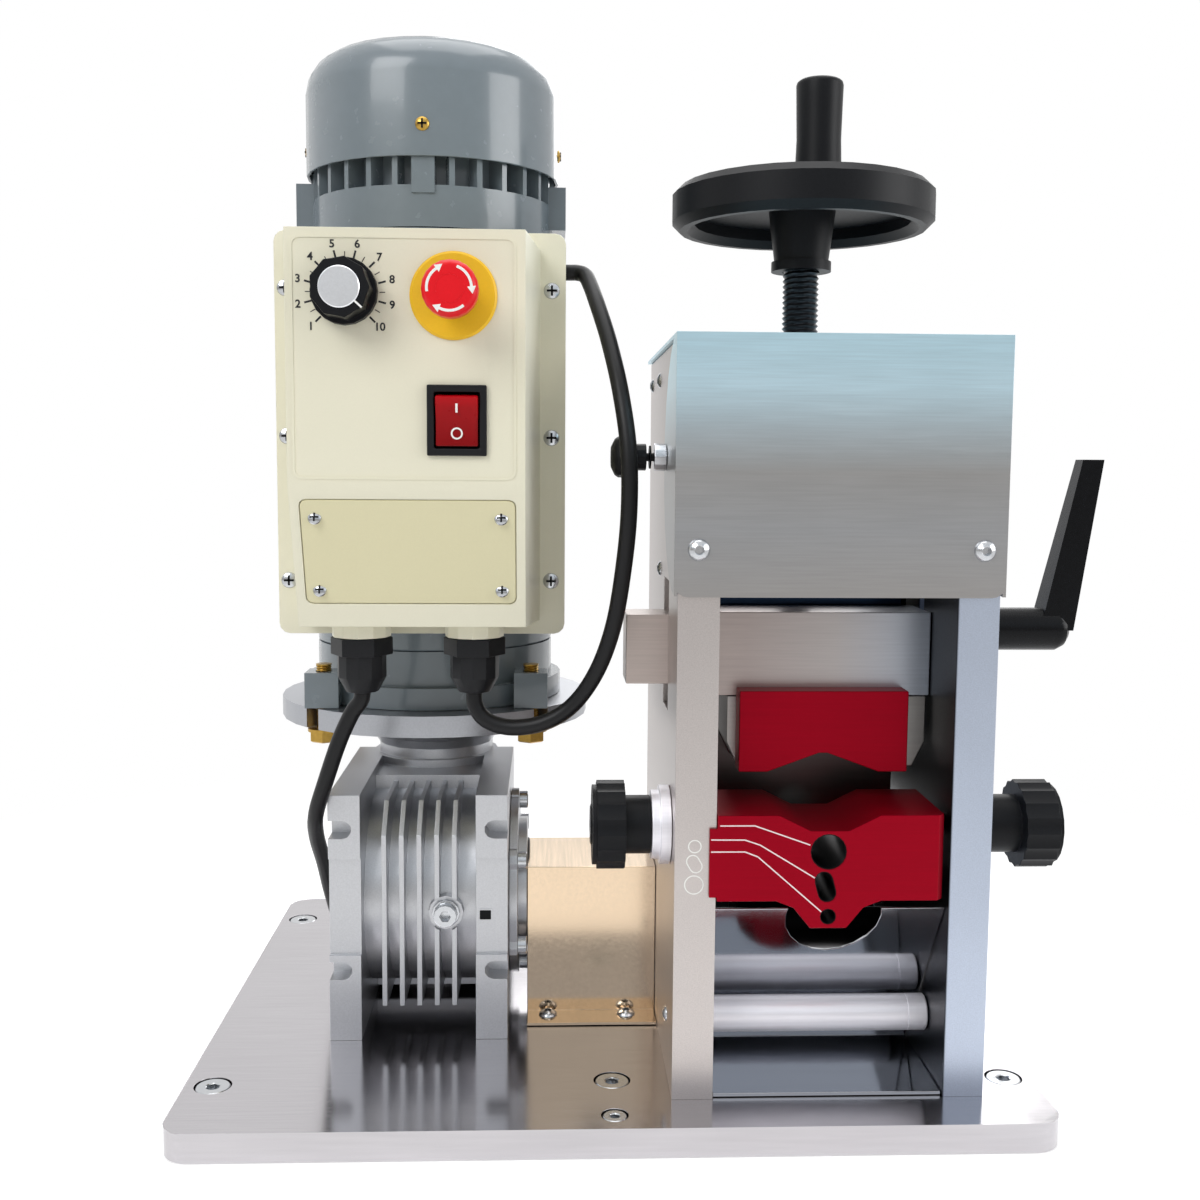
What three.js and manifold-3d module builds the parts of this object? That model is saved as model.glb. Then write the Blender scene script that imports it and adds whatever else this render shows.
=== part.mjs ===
// Bench wire stripping machine: a base plate carries a cutting head, a worm gearbox, a motor and a control
// box.
// Millimetres, +Z up, +Y away from the front. The origin is the middle of the base plate's underside.
import * as THREE from 'three';
import { ConvexGeometry } from 'three/addons/geometries/ConvexGeometry.js';
import { mergeVertices } from 'three/addons/utils/BufferGeometryUtils.js';
import Module from 'manifold-3d';

const wasm = await Module();
wasm.setup();

// Clearance between pieces, overrun of cuts and joins, and the numbers of sides of round shapes
const gap = 0.3;
const overrun = 4;
const sides = { large: 32, medium: 20, small: 12, fine: 10, hex: 6 };

// Base plate, and the axis of the drive shaft that the gearbox and the head share
const base = { width: 381, depth: 304.8, thickness: 12.7, corner: 12, chamfer: 1.2 };
const drive = { y: -1.6, height: 60 };

// Cutting head: two side plates, the threaded block between them, a tie bar and the folded cover
const head = { x: 93.7, width: 137.6, plate: 18, front: -124.8, depth: 160.4, height: 329.2 };
const topBlock = { front: -78.4, rear: 21.6, height: 30 };
const tieBar = { radius: 8.2, y: -93.4, height: 26 };
const cover = { sheet: 1.5, bottom: 220.8, flangeRadius: 54.9, corner: 6, holeRadius: 11 };
const mirror = {
  sheet: 1.5, inset: 1.6, footRear: -60.4, topY: -119.4, top: 84.3, notchX: 2, notchRadius: 21, notchDrop: 25,
};

// The line that the wire, the blade and the spindle share, from the head's middle
const wireX = -2;

// Lower wire guide: the outline of its front, its three holes and the ear that laps the left plate
const guide = {
  front: -126.4, depth: 48, top: 127, bottom: 89.3, right: 48, chamfer: 2.6,
  channelHalf: 22, channelFloorHalf: 8.3, channelDepth: 6.8,
  noseRoot: 22.8, noseBend: 15.2, noseHalf: 7.9, noseBendDrop: 3, noseDrop: 12,
  earReach: 3.4, earThickness: 1.3, earBottom: 91, earTop: 121.2,
};
const largeHole = { x: -0.4, z: 111, radius: 7.8 };
const smallHole = { x: -0.1, z: 82.4, radius: 3.5 };
const ovalHole = { topX: -2.2, topZ: 98.4, lowX: -0.7, lowZ: 92.8, radius: 4 };

// Knobs that clamp the lower guide, and the stepped collar under the left one
const guideKnob = { y: -98.4, height: 116.1, studRadius: 4, studReach: 13, neckRadius: 13, headRadius: 19.7 };
const fluting = { count: 18, depth: 1.1, faceStep: 2 };
const leftKnob = { neckStart: 8.9, neckEnd: 20.3, headEnd: 34.7 };
const rightKnob = { neckStart: 0.3, neckEnd: 18.5, headEnd: 35.5 };
const collar = { radius: 17.6, thickness: 8.3, stepRadius: 15.4, stepThickness: 3.4 };

// Blade carriage: bar, blade holder, upper guide, axle and disc blade
const bar = { front: -86.4, depth: 30, bottom: 172.3, height: 38.3 };
const tongue = { reach: 19.2, bottom: 177.1, height: 31.8, depth: 24, setback: 3 };
const travel = { down: 12, up: 15 };
const holder = {
  left: -42, right: 49, webBottom: 139.7, cornerRise: 11.5, cornerRun: 5.5, bodyHalf: 42, bodyBottom: 110,
  bodyTop: 202.3, rear: 30, notchHalf: 30, notchTop: 152, notchTopHalf: 8, slotHalf: 2.6,
};
const upperGuide = {
  halfWidth: 38, bottom: 139.7, top: 176.3, thickness: 12, notchHalf: 25.1, notchTopHalf: 1.9, notchRise: 8.6,
};
const blade = { radius: 30, thickness: 3, edge: 4, boreRadius: 6, height: 124, headRadius: 9, headLength: 3 };

// Handwheel, its threaded spindle and the turning handle
const spindle = {
  y: -30, radius: 8.75, tipRadius: 6, tipLength: 10, threadDepth: 0.9, threadTop: 372, threadBottom: 290,
  hubReach: 22, crestPitch: 8,
};
const wheel = {
  radius: 62.5, bottom: 388.5, height: 20, rimWidth: 11, web: 5, webDrop: 6, hubBottom: 369.2,
  collarRadius: 14.3, collarHeight: 4.6, hubRadius: 12.9, hubTopRadius: 15.9,
};
const handle = {
  radius: 12, length: 59, bossRadius: 10.5, footRadius: 8.5, footLength: 3, offset: 47.8, angle: 70.4,
  axleRadius: 4, headRadius: 6.5, headLength: 3, mouth: 6,
};

// Clamp lever on the right end of the carriage bar; its handle pulls out to be set at another angle
const clamp = {
  y: -68.4, drop: 9.6, studRadius: 4, studInner: -39, baseRadius: 8.5, baseLength: 3, insertRadius: 5.5,
  insertLength: 24, boreLength: 30,
};
const lever = {
  hubRadius: 10, hubLength: 47, dome: 6, armMiddle: 43.7, armWidth: 15.6, armDepth: 15, tipWidth: 10,
  tipDepth: 9, armRise: 79, armLean: 15.3,
};
const clampHeight = bar.bottom + bar.height - clamp.drop;

// Spring plunger on the left flange of the cover, its places given inward from the plate's outer face
const plunger = {
  y: -82.4, height: 279.6, bushRadius: 6.2, bushStart: -7.5, bushEnd: -2.1, pinRadius: 1.9, pinEnd: 14,
  washerRadius: 5.4, washerAt: -9.6, washerThickness: 0.8, stemRadius: 6, stemEnd: -11, headEnd: -19.9,
  headRadius: 9.2, headLength: 6.8,
};

// Worm gearbox: its case, in the frame of the wheel's axis at its middle
const gearX = -91;
const gear = {
  halfWidth: 42.5, leg: 15.2, half: 60, corner: 8, recess: 2.5, padLow: 42, padHigh: 31, drumRadius: 49,
  wormOffset: 50, tubeRadius: 34, neckRadius: 31, neckRise: 5.3, neckTopRadius: 37, neckMiddle: 14.3,
  neckTop: 21.2, chamberRadius: 42.5, chamberWall: 22.5, wormBore: 15, wormFloor: 52,
};
const gearFin = { front: 55, thickness: 2.4, pitch: 8.4, bottom: 45, top: 53, slant: 14, count: 5 };
const gearSlot = { high: 43.3, low: -25.7, radius: 4.3, reach: 11, through: 12 };
const gearCover = {
  radius: 46, thickness: 4, bossRadius: 33, bossLength: 4.4, spigot: 8, lugRadius: 6, lugCircle: 43,
  lugCount: 6,
};
const oilPlug = {
  x: 12.6, height: 0.5, seat: 53, radius: 5.6, washerRadius: 6.8, washer: 1.4, head: 4.6, shankRadius: 4,
  shank: 8, socketRadius: 2.6, bossRadius: 8.5,
};
const wormWheel = {
  radius: 39, halfWidth: 12, hubRadius: 20, hubFrom: -22, hubTo: 30, tooth: 2.4, teeth: 30,
};

// Drive shaft, feed roller, bearings and the folded guard over the shaft
const shaft = { radius: 12.5, leftReach: 38, endRadius: 8.5, shoulder: 6 };
const roller = { radius: 20, halfWidth: 24, grooves: 30, grooveDepth: 0.9 };
const bearing = { radius: 17.5, width: 10 };
const guard = { sheet: 1.5, front: -30, rear: 24, top: 76, footWidth: 15.5 };

// Motor, in the frame of its axis at the input flange's underside
const flange = { bottom: 81.5, thickness: 11, radius: 82.4, boreRadius: 40, bolt: 52.7, notchRadius: 5 };
const bolt = { across: 13, head: 5.5, washerRadius: 8.4, washer: 1.6, radius: 4, reach: 22 };
const shield = { discRadius: 68, disc: 11, earHalf: 8.5, ear: 18, height: 29, boreRadius: 10 };
const barrel = { radius: 63, wall: 5, height: 209 };
const stator = { height: 100, bore: 34, setback: 48 };
const rotor = {
  radius: 33, shaftRadius: 8, wormRadius: 9.6, wormBelow: 42, wormAbove: 40, thread: 1.6, threads: 6,
};
const topShield = {
  body: 20, rib: 16, coreRadius: 52, ribs: 28, ribThickness: 2.8, bossHalf: 5.6, bosses: 4, earReach: 70,
  earHalf: 15, earBottom: 7, earTop: 29, roof: 4,
};
const fan = {
  radius: 54, hubRadius: 14, hub: 22, blade: 20, bladeThickness: 2.4, blades: 7, disc: 2.5, rise: 6,
};
const fanCover = {
  radius: 66.1, wall: 1.5, lap: 3, height: 64, dome: 20, crown: 3, vents: 5, ventRadius: 4, ventCircle: 24,
};

// Control box, in the frame of its middle, the front plane of its flange and its bottom
const box = {
  x: -89.2, front: -50.85, bottom: 208.4, width: 134.8, height: 187, corner: 5, depth: 34, wall: 3, flange: 3,
};
const bell = {
  footHalf: 55.5, footBottom: 6.6, footTop: 179.6, faceHalf: 49.8, faceDepth: 68.2, faceTop: 177,
  faceBottom: 72.5, lipDepth: 46.2, lipBottom: 8.6,
};
const access = { width: 91, length: 48, thickness: 1.5, corner: 3, topMargin: 8.2 };
const dial = {
  x: -24.8, z: 150.7, skirtRadius: 13.8, skirt: 5, bodyRadius: 12.4, length: 17, shaftRadius: 3,
  shaftLength: 8, flutes: 9, fluteDepth: 0.9,
};
const estop = {
  x: 20, z: 149.6, ringRadius: 18.2, ring: 1.4, neckRadius: 8, neckFront: -7.4, stemRadius: 5, stemRear: 16,
  headRadius: 11.5, headRear: -15.7, headFront: -26.5, crown: 2.2, socketFloor: -22,
};
const rocker = {
  x: 21.2, z: 98.3, width: 25, height: 29.5, lip: 1.8, bodyWidth: 21, bodyHeight: 25, bodyDepth: 14,
  windowWidth: 19, windowHeight: 23.4, windowDepth: 10, front: -1.4, rear: 4.6, swell: 1.7, margin: 1.2,
  tilt: 9,
};
const gland = {
  y: -25.2, leftX: -25.3, rightX: 26, bossRadius: 13.4, bossBottom: 2, across: 24.6, hex: 8, nutRadius: 11.2,
  nut: 17.1, nutTaper: 7, tipRadius: 7.4, spigotRadius: 8, spigot: 9,
};

// Cords: their section, and the points that they follow from the glands on
const cord = { radius: 3.75, sides: 8, step: 12 };
const motorLeadRoute = [
  [-63.2, -76.05, 198], [-63.2, -76.05, 188], [-62.9, -76.2, 178.5], [-57.5, -77.5, 171.6],
  [-46, -79, 168.6], [-31, -81, 171.3], [-18, -83, 180], [-7.5, -87, 196], [-0.4, -91, 217],
  [3.6, -95, 242.3], [5.7, -98.5, 268.2], [5.3, -98.5, 294.9], [2, -90, 320.8], [-2.6, -75, 344],
  [-7.4, -60, 362], [-10.4, -46, 372.8], [-12.5, -37.5, 378.2], [-16, -34.3, 379.9], [-20, -34, 380],
  [-28, -34, 380],
];
const mainsRoute = [
  [-114.5, -76.05, 199], [-114.5, -76.05, 192], [-114.5, -76.05, 184], [-115.5, -76, 180],
  [-119.4, -75.5, 174.6], [-125.6, -73.5, 161.4], [-132.8, -69.5, 141.4], [-138.9, -61.5, 123.6],
  [-141.3, -46, 108.6], [-141.3, -26, 90], [-141.6, -5, 69], [-141.8, 20, 47], [-142.3, 48, 29.5],
  [-143.5, 76, 19.5], [-146, 104, 16.9], [-150, 130, 16.9], [-153.5, 146, 17.4], [-156, 156, 16.8],
  [-158.8, 164.5, 13], [-161.5, 174, 7.6], [-164.2, 185, 4.5], [-166.2, 196, 4.15],
  [-166.2, 206.7, 4.15],
];
const coil = {
  x: -111, y: 215, innerRadius: 39.2, pitch: 8, turns: 2, loopSteps: 24, sides: 6, clearance: 0.45, lift: 0.4,
  leadIn: 8,
};
const coilTail = [[12, 0], [24, -0.8], [36, -2.8], [48, -4.3], [56, -4.3]];
const plug = {
  length: 38, width: 24, thickness: 15, edge: 3, relief: 22, reliefRadius: 5.2, pin: 17, pinHalf: 3.2,
  pinThickness: 1.6, pinSpread: 12.7, earthRadius: 2.4, earthDrop: 5,
};

// Looks of the materials
function look(color, roughness, metalness) {
  return new THREE.MeshStandardMaterial({ color, roughness, metalness });
}

const finish = {
  plate: look('#c9cacc', 0.28, 1),
  brushed: look('#b4b4b2', 0.32, 1),
  polished: look('#c4c6c8', 0.1, 1),
  cast: look('#a9abae', 0.45, 0.9),
  red: look('#a3001c', 0.4, 0.5),
  blackPlastic: look('#141517', 0.45, 0),
  greyPaint: look('#78858a', 0.4, 0),
  cream: look('#e6e3cb', 0.5, 0),
  accessCream: look('#e0dab8', 0.5, 0),
  steel: look('#8d8f92', 0.3, 1),
  zinc: look('#b08d48', 0.35, 1),
  darkSteel: look('#27282a', 0.4, 0.8),
  yellow: look('#e8b90c', 0.5, 0),
  buttonRed: look('#d81920', 0.4, 0),
  rockerRed: look('#c00010', 0.2, 0),
  rubber: look('#101112', 0.6, 0),
  copper: look('#9a5a34', 0.4, 0.8),
  bronze: look('#a98b4c', 0.4, 0.9),
  guardSteel: look('#b0a594', 0.25, 1),
};

// Geometry to solid and back, with the faces turned outward
function solidOf(geometry) {
  const plain = geometry.index ? geometry.toNonIndexed() : geometry.clone();
  for (const name of Object.keys(plain.attributes)) {
    if (name !== 'position') plain.deleteAttribute(name);
  }
  const merged = mergeVertices(plain);
  const at = merged.attributes.position;
  const index = merged.index.array;
  const [a, b, c] = [new THREE.Vector3(), new THREE.Vector3(), new THREE.Vector3()];
  const kept = [];
  let volume = 0;
  for (let i = 0; i < index.length; i += 3) {
    const [p, q, r] = index.slice(i, i + 3);
    if (p === q || q === r || p === r) continue;
    kept.push(p, q, r);
    volume += a.fromBufferAttribute(at, p)
    .dot(b.fromBufferAttribute(at, q).cross(c.fromBufferAttribute(at, r)));
  }
  if (volume < 0) kept.reverse();
  const mesh = { numProp: 3, vertProperties: new Float32Array(at.array), triVerts: new Uint32Array(kept) };
  return new wasm.Manifold(new wasm.Mesh(mesh));
}

function geometryOf(solid) {
  const mesh = solid.getMesh();
  const geometry = new THREE.BufferGeometry();
  geometry.setAttribute('position', new THREE.BufferAttribute(new Float32Array(mesh.vertProperties), 3));
  geometry.setIndex(new THREE.BufferAttribute(new Uint32Array(mesh.triVerts), 1));
  return geometry.toNonIndexed();
}

function join(first, ...others) {
  return geometryOf(others.reduce((sum, other) => sum.add(solidOf(other)), solidOf(first)));
}

function cut(first, ...tools) {
  return geometryOf(tools.reduce((rest, tool) => rest.subtract(solidOf(tool)), solidOf(first)));
}

// Outlines are lists of points. Along x they hold (y, z), along y they hold (x, z), and along z (x, y).
const unit = { x: new THREE.Vector3(1, 0, 0), y: new THREE.Vector3(0, 1, 0), z: new THREE.Vector3(0, 0, 1) };
const along = {
  x: new THREE.Matrix4().makeBasis(unit.y, unit.z, unit.x),
  y: new THREE.Matrix4().makeBasis(unit.x, unit.z, unit.y),
  z: new THREE.Matrix4(),
};

function prism(axis, outline, from, to) {
  const shape = new THREE.Shape(outline.map(([u, v]) => new THREE.Vector2(u, v)));
  const low = Math.min(from, to);
  const geometry = new THREE.ExtrudeGeometry(shape, { depth: Math.max(from, to) - low, bevelEnabled: false });
  return geometry.translate(0, 0, low).applyMatrix4(along[axis]);
}

function rectangle(u0, u1, v0, v1) {
  return [[u0, v0], [u1, v0], [u1, v1], [u0, v1]];
}

function block(x0, x1, y0, y1, z0, z1) {
  return prism('z', rectangle(x0, x1, y0, y1), z0, z1);
}

function arc(u, v, radius, start, end, steps) {
  return Array.from({ length: steps + 1 }, (_, i) => {
    const angle = THREE.MathUtils.degToRad(start + (end - start) * i / steps);
    return [u + radius * Math.cos(angle), v + radius * Math.sin(angle)];
  });
}

function circle(u, v, radius, count) {
  return arc(u, v, radius, 0, 360, count).slice(0, -1);
}

function rod(axis, u, v, radius, from, to, count = sides.small) {
  return prism(axis, circle(u, v, radius, count), from, to);
}

function rounded(u0, u1, v0, v1, radius, steps = 3) {
  return [
    ...arc(u1 - radius, v0 + radius, radius, -90, 0, steps),
    ...arc(u1 - radius, v1 - radius, radius, 0, 90, steps),
    ...arc(u0 + radius, v1 - radius, radius, 90, 180, steps),
    ...arc(u0 + radius, v0 + radius, radius, 180, 270, steps),
  ];
}

// A ring of alternate lands and grooves, as on a fluted knob, a toothed wheel or a knurled roller
function toothed(radius, depth, count) {
  return Array.from({ length: 2 * count }, (_, i) => {
    const angle = Math.PI * i / count;
    const reach = i % 2 ? radius - depth : radius;
    return [reach * Math.cos(angle), reach * Math.sin(angle)];
  });
}

// A turned solid from (radius, place along the axis) pairs
function turned(axis, profile, count, u = 0, v = 0) {
  const lathe = new THREE.LatheGeometry(profile.map(([r, h]) => new THREE.Vector2(r, h)), count);
  return lathe.rotateX(Math.PI / 2).translate(u, v, 0).applyMatrix4(along[axis]);
}

function ring(axis, outer, innerRadius, from, to, count = sides.medium) {
  const tool = rod(axis, 0, 0, innerRadius, from - overrun, to + overrun, count);
  return cut(rod(axis, 0, 0, outer, from, to, count), tool);
}

function hull(points) {
  return new ConvexGeometry(points.map((p) => new THREE.Vector3(...p)));
}

function copies(count, make) {
  return Array.from({ length: count }, (_, i) => make(i));
}

function piece(name, geometry, material, x = 0, y = 0, z = 0) {
  const mesh = new THREE.Mesh(geometryOf(solidOf(geometry)), material);
  mesh.geometry.computeVertexNormals();
  mesh.name = name;
  mesh.position.set(x, y, z);
  return mesh;
}

function group(x, y, z, ...children) {
  const made = new THREE.Group();
  made.position.set(x, y, z);
  made.add(...children);
  return made;
}

// Base plate
function makeBase() {
  const b = base;
  const outline = rounded(-b.width / 2, b.width / 2, -b.depth / 2, b.depth / 2, b.corner, 4);
  const shape = new THREE.Shape(outline.map(([u, v]) => new THREE.Vector2(u, v)));
  const depth = b.thickness - 2 * b.chamfer;
  const bevel = { bevelThickness: b.chamfer, bevelSize: b.chamfer, bevelOffset: -b.chamfer,
    bevelSegments: 1 };
  return piece('base_plate', new THREE.ExtrudeGeometry(shape, { depth, ...bevel }), finish.plate, 0, 0,
    b.chamfer);
}

// Cutting head, in the frame of its middle, the drive shaft's axis and the base's top
const outerHalf = head.width / 2;
const innerHalf = outerHalf - head.plate;
const headRear = head.front + head.depth;

function sidePlate(side) {
  const from = side * outerHalf;
  const to = side * innerHalf;
  const through = [from + side * overrun, to - side * overrun];
  return cut(
    prism('x', rectangle(head.front, headRear, 0, head.height), from, to),
    rod('x', 0, drive.height, bearing.radius + gap, ...through, sides.medium),
    rod('x', guideKnob.y, guideKnob.height, guideKnob.studRadius + gap, ...through, sides.fine),
    side < 0 ? tongueSlot(through) : clampSlot(through),
    side < 0 ? rod('x', plunger.y, plunger.height, plunger.pinRadius + gap, ...through,
      sides.fine) : hubRecess(),
  );
}

function tongueSlot(through) {
  const front = bar.front + tongue.setback - gap;
  const low = tongue.bottom - travel.down - gap;
  const high = tongue.bottom + tongue.height + travel.up + gap;
  return prism('x', rectangle(front, front + tongue.depth + 2 * gap, low, high), ...through);
}

function clampSlot(through) {
  const radius = clamp.studRadius + gap;
  const outline = [
    ...arc(clamp.y, clampHeight + travel.up, radius, 0, 180, 6),
    ...arc(clamp.y, clampHeight - travel.down, radius, 180, 360, 6),
  ];
  return prism('x', outline, ...through);
}

// A shallow turned recess for the end of the drive shaft on the right plate
function hubRecess() {
  return rod('x', 0, drive.height, bearing.radius + overrun, outerHalf - gap, outerHalf + overrun,
    sides.medium);
}

function topCover() {
  const c = cover;
  const inside = outerHalf + gap;
  const outside = inside + c.sheet;
  const top = head.height + gap + c.sheet;
  const front = head.front - gap - c.sheet;
  const outline = [
    [outside, top], [-outside, top],
    ...arc(c.corner - outside, c.bottom + c.corner, c.corner, 180, 270, 4),
    ...arc(outside - c.corner, c.bottom + c.corner, c.corner, 270, 360, 4),
  ];
  const middle = top - c.flangeRadius;
  const half = arc(front, middle, c.flangeRadius, -90, 90, 12);
  const flanges = [-1, 1].map((side) => prism('x', half, side * inside, side * outside));
  return cut(
    join(
      prism('y', outline, front, front + c.sheet),
      block(-outside, outside, front, headRear, top - c.sheet, top), ...flanges,
    ),
    rod('z', wireX, spindle.y, c.holeRadius, top - 2 * overrun, top + overrun, sides.medium),
    rod('x', plunger.y, plunger.height, plunger.pinRadius + gap, -outside - overrun, -inside + overrun,
      sides.fine),
  );
}

// A polished sheet whose foot lies on the base, and which leans forward up to the guide's underside
function mirrorSheet() {
  const m = mirror;
  const half = innerHalf - gap;
  const front = head.front + m.inset;
  const lean = Math.atan2(m.top, m.topY - m.footRear);
  const across = m.sheet / Math.sin(lean);
  const bend = m.sheet * Math.tan(lean / 2);
  const outline = [
    [front, gap], [m.footRear, gap], [m.topY, m.top], [m.topY - across, m.top],
    [m.footRear - bend, gap + m.sheet], [front, gap + m.sheet],
  ];
  const notchZ = m.top - m.notchDrop + m.notchRadius;
  const notch = rod('y', m.notchX, notchZ, m.notchRadius, m.topY - 2 * across, m.footRear, sides.medium);
  return cut(prism('x', outline, -half, half), notch);
}

function makeHeadFrame() {
  const half = innerHalf - gap;
  const low = head.height - gap - topBlock.height;
  const threaded = cut(
    block(-half, half, topBlock.front, topBlock.rear, low, head.height - gap),
    rod('z', wireX, spindle.y, spindle.radius + gap, low - overrun, head.height + overrun, sides.medium),
  );
  return [
    piece('left_side_plate', sidePlate(-1), finish.plate),
    piece('right_side_plate', sidePlate(1), finish.plate),
    piece('top_block', threaded, finish.steel),
    piece('top_cover', topCover(), finish.brushed),
    piece('tie_bar', rod('x', tieBar.y, tieBar.height, tieBar.radius, -half, half, sides.medium),
      finish.plate),
    piece('mirror_sheet', mirrorSheet(), finish.polished),
  ];
}

// Lower wire guide, with the knobs and the collar that clamp it
function lowerGuide() {
  const g = guide;
  const left = gap - innerHalf;
  const outline = [
    [g.right, g.top], [wireX + g.channelHalf, g.top], [wireX + g.channelFloorHalf, g.top - g.channelDepth],
    [wireX - g.channelFloorHalf, g.top - g.channelDepth], [wireX - g.channelHalf, g.top], [left, g.top],
    [left, g.bottom], [wireX - g.noseRoot, g.bottom], [wireX - g.noseBend, g.bottom - g.noseBendDrop],
    [wireX - g.noseHalf, g.bottom - g.noseDrop], [wireX + g.noseHalf, g.bottom - g.noseDrop],
    [wireX + g.noseBend, g.bottom - g.noseBendDrop], [wireX + g.noseRoot, g.bottom], [g.right, g.bottom],
  ];
  const body = prism('y', outline, g.front, g.front + g.depth);
  const ear = block(left - g.earReach, left + g.earReach, g.front, g.front + g.earThickness, g.earBottom,
    g.earTop);
  const through = [g.front - overrun, g.front + g.depth + overrun];
  const edge = [[g.right - g.chamfer, g.front], [g.right, g.front + g.chamfer],
    [g.right + overrun, g.front - overrun]];
  const studs = [-1, 1].map((side) => {
    const k = guideKnob;
    return rod('x', k.y, k.height, k.studRadius + gap, side * innerHalf, side * (innerHalf - k.studReach),
      sides.fine);
  });
  return cut(
    join(body, ear),
    rod('y', wireX + largeHole.x, largeHole.z, largeHole.radius, ...through, sides.medium),
    rod('y', wireX + smallHole.x, smallHole.z, smallHole.radius, ...through, sides.small),
    prism('y', ovalOutline(), ...through),
    prism('z', edge, g.bottom - overrun, g.top + overrun),
    ...studs,
  );
}

function ovalOutline() {
  const o = ovalHole;
  const slant = THREE.MathUtils.radToDeg(Math.atan2(o.topZ - o.lowZ, o.topX - o.lowX));
  return [
    ...arc(wireX + o.topX, o.topZ, o.radius, slant - 90, slant + 90, 6),
    ...arc(wireX + o.lowX, o.lowZ, o.radius, slant + 90, slant + 270, 6),
  ];
}

// A knob on its stud; its places run outward from the plate's outer face
function knobShape(side, k) {
  const { studRadius, studReach, neckRadius, headRadius } = guideKnob;
  const stud = rod('x', 0, 0, studRadius, side * (overrun - head.plate - studReach), side * k.neckEnd,
    sides.fine);
  const neck = rod('x', 0, 0, neckRadius, side * k.neckStart, side * (k.neckEnd + overrun), sides.medium);
  const { count, depth, faceStep } = fluting;
  const grip = prism('x', toothed(headRadius, depth, count), side * k.neckEnd, side * (k.headEnd - faceStep));
  const face = rod('x', 0, 0, headRadius - faceStep, side * (k.headEnd - overrun), side * k.headEnd,
    sides.medium);
  return join(stud, neck, grip, face);
}

function collarShape() {
  const c = collar;
  const rings = join(
    rod('x', 0, 0, c.radius, -gap, c.stepThickness - c.thickness, sides.medium),
    rod('x', 0, 0, c.stepRadius, -gap, -gap - c.thickness, sides.medium),
  );
  return cut(rings, rod('x', 0, 0, guideKnob.studRadius + gap, -2 * c.thickness, overrun, sides.fine));
}

function makeGuides() {
  const { y, height } = guideKnob;
  return [
    piece('lower_guide', lowerGuide(), finish.red),
    piece('left_guide_knob', knobShape(-1, leftKnob), finish.blackPlastic, -outerHalf, y, height),
    piece('right_guide_knob', knobShape(1, rightKnob), finish.blackPlastic, outerHalf, y, height),
    piece('guide_collar', collarShape(), finish.plate, -outerHalf, y, height),
  ];
}

// Blade carriage
function carriageBar() {
  const b = bar;
  const t = tongue;
  const front = b.front + t.setback;
  const body = block(gap - innerHalf, innerHalf - gap, b.front, b.front + b.depth, b.bottom,
    b.bottom + b.height);
  const end = block(-outerHalf - t.reach, overrun - innerHalf, front, front + t.depth, t.bottom,
    t.bottom + t.height);
  const holeEnd = outerHalf + clamp.studInner - overrun;
  return cut(
    join(body, end),
    rod('x', clamp.y, clampHeight, clamp.studRadius + gap, holeEnd, outerHalf, sides.fine),
  );
}

function bladeHolder() {
  const h = holder;
  const webTop = bar.bottom - gap;
  const bodyFront = bar.front + bar.depth + gap;
  const outline = [
    [h.left, webTop], [h.left, h.webBottom + h.cornerRise], [h.left + h.cornerRun, h.webBottom],
    [-h.notchHalf, h.webBottom], [-h.notchTopHalf, h.notchTop], [h.notchTopHalf, h.notchTop],
    [h.notchHalf, h.webBottom], [h.right - h.cornerRun, h.webBottom], [h.right, h.webBottom + h.cornerRise],
    [h.right, webTop],
  ];
  const web = prism('y', outline, bar.front, bodyFront + overrun);
  const body = block(-h.bodyHalf, h.bodyHalf, bodyFront, h.rear, h.bodyBottom, h.bodyTop);
  const slotTop = blade.height + blade.radius + overrun;
  const slot = rectangle(-blade.radius - overrun, h.rear + overrun, h.bodyBottom - overrun, slotTop);
  const reach = Math.max(-h.left, h.right) + overrun;
  return cut(
    join(web, body),
    prism('x', slot, wireX - h.slotHalf, wireX + h.slotHalf),
    rod('x', 0, blade.height, blade.boreRadius + gap, -reach, reach),
    rod('z', wireX, spindle.y, spindle.tipRadius + gap, h.bodyTop - spindle.tipLength - gap,
      h.bodyTop + overrun),
  );
}

function upperGuideShape() {
  const g = upperGuide;
  const outline = [
    [-g.halfWidth, g.top], [-g.halfWidth, g.bottom], [-g.notchHalf, g.bottom],
    [-g.notchTopHalf, g.bottom + g.notchRise], [g.notchTopHalf, g.bottom + g.notchRise],
    [g.notchHalf, g.bottom], [g.halfWidth, g.bottom], [g.halfWidth, g.top],
  ];
  return prism('y', outline, bar.front - gap - g.thickness, bar.front - gap);
}

function makeCarriage() {
  const b = blade;
  const half = b.thickness / 2;
  const rim = b.radius - b.edge;
  const disc = cut(
    turned('x', [[0, -half], [rim, -half], [b.radius, 0], [rim, half], [0, half]], sides.large),
    rod('x', 0, 0, b.boreRadius + gap, -b.thickness, b.thickness),
  );
  const face = holder.bodyHalf + gap;
  const end = face + b.headLength;
  const heads = [-1, 1].map((side) => rod('x', 0, 0, b.headRadius, side * face, side * end));
  return [
    piece('carriage_bar', carriageBar(), finish.plate),
    piece('blade_holder', bladeHolder(), finish.steel),
    piece('upper_guide', upperGuideShape(), finish.red),
    piece('blade_axle', join(rod('x', 0, 0, b.boreRadius, -end, end), ...heads), finish.steel, 0, 0,
      b.height),
    piece('cutting_blade', disc, finish.darkSteel, wireX, 0, b.height),
  ];
}

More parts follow.
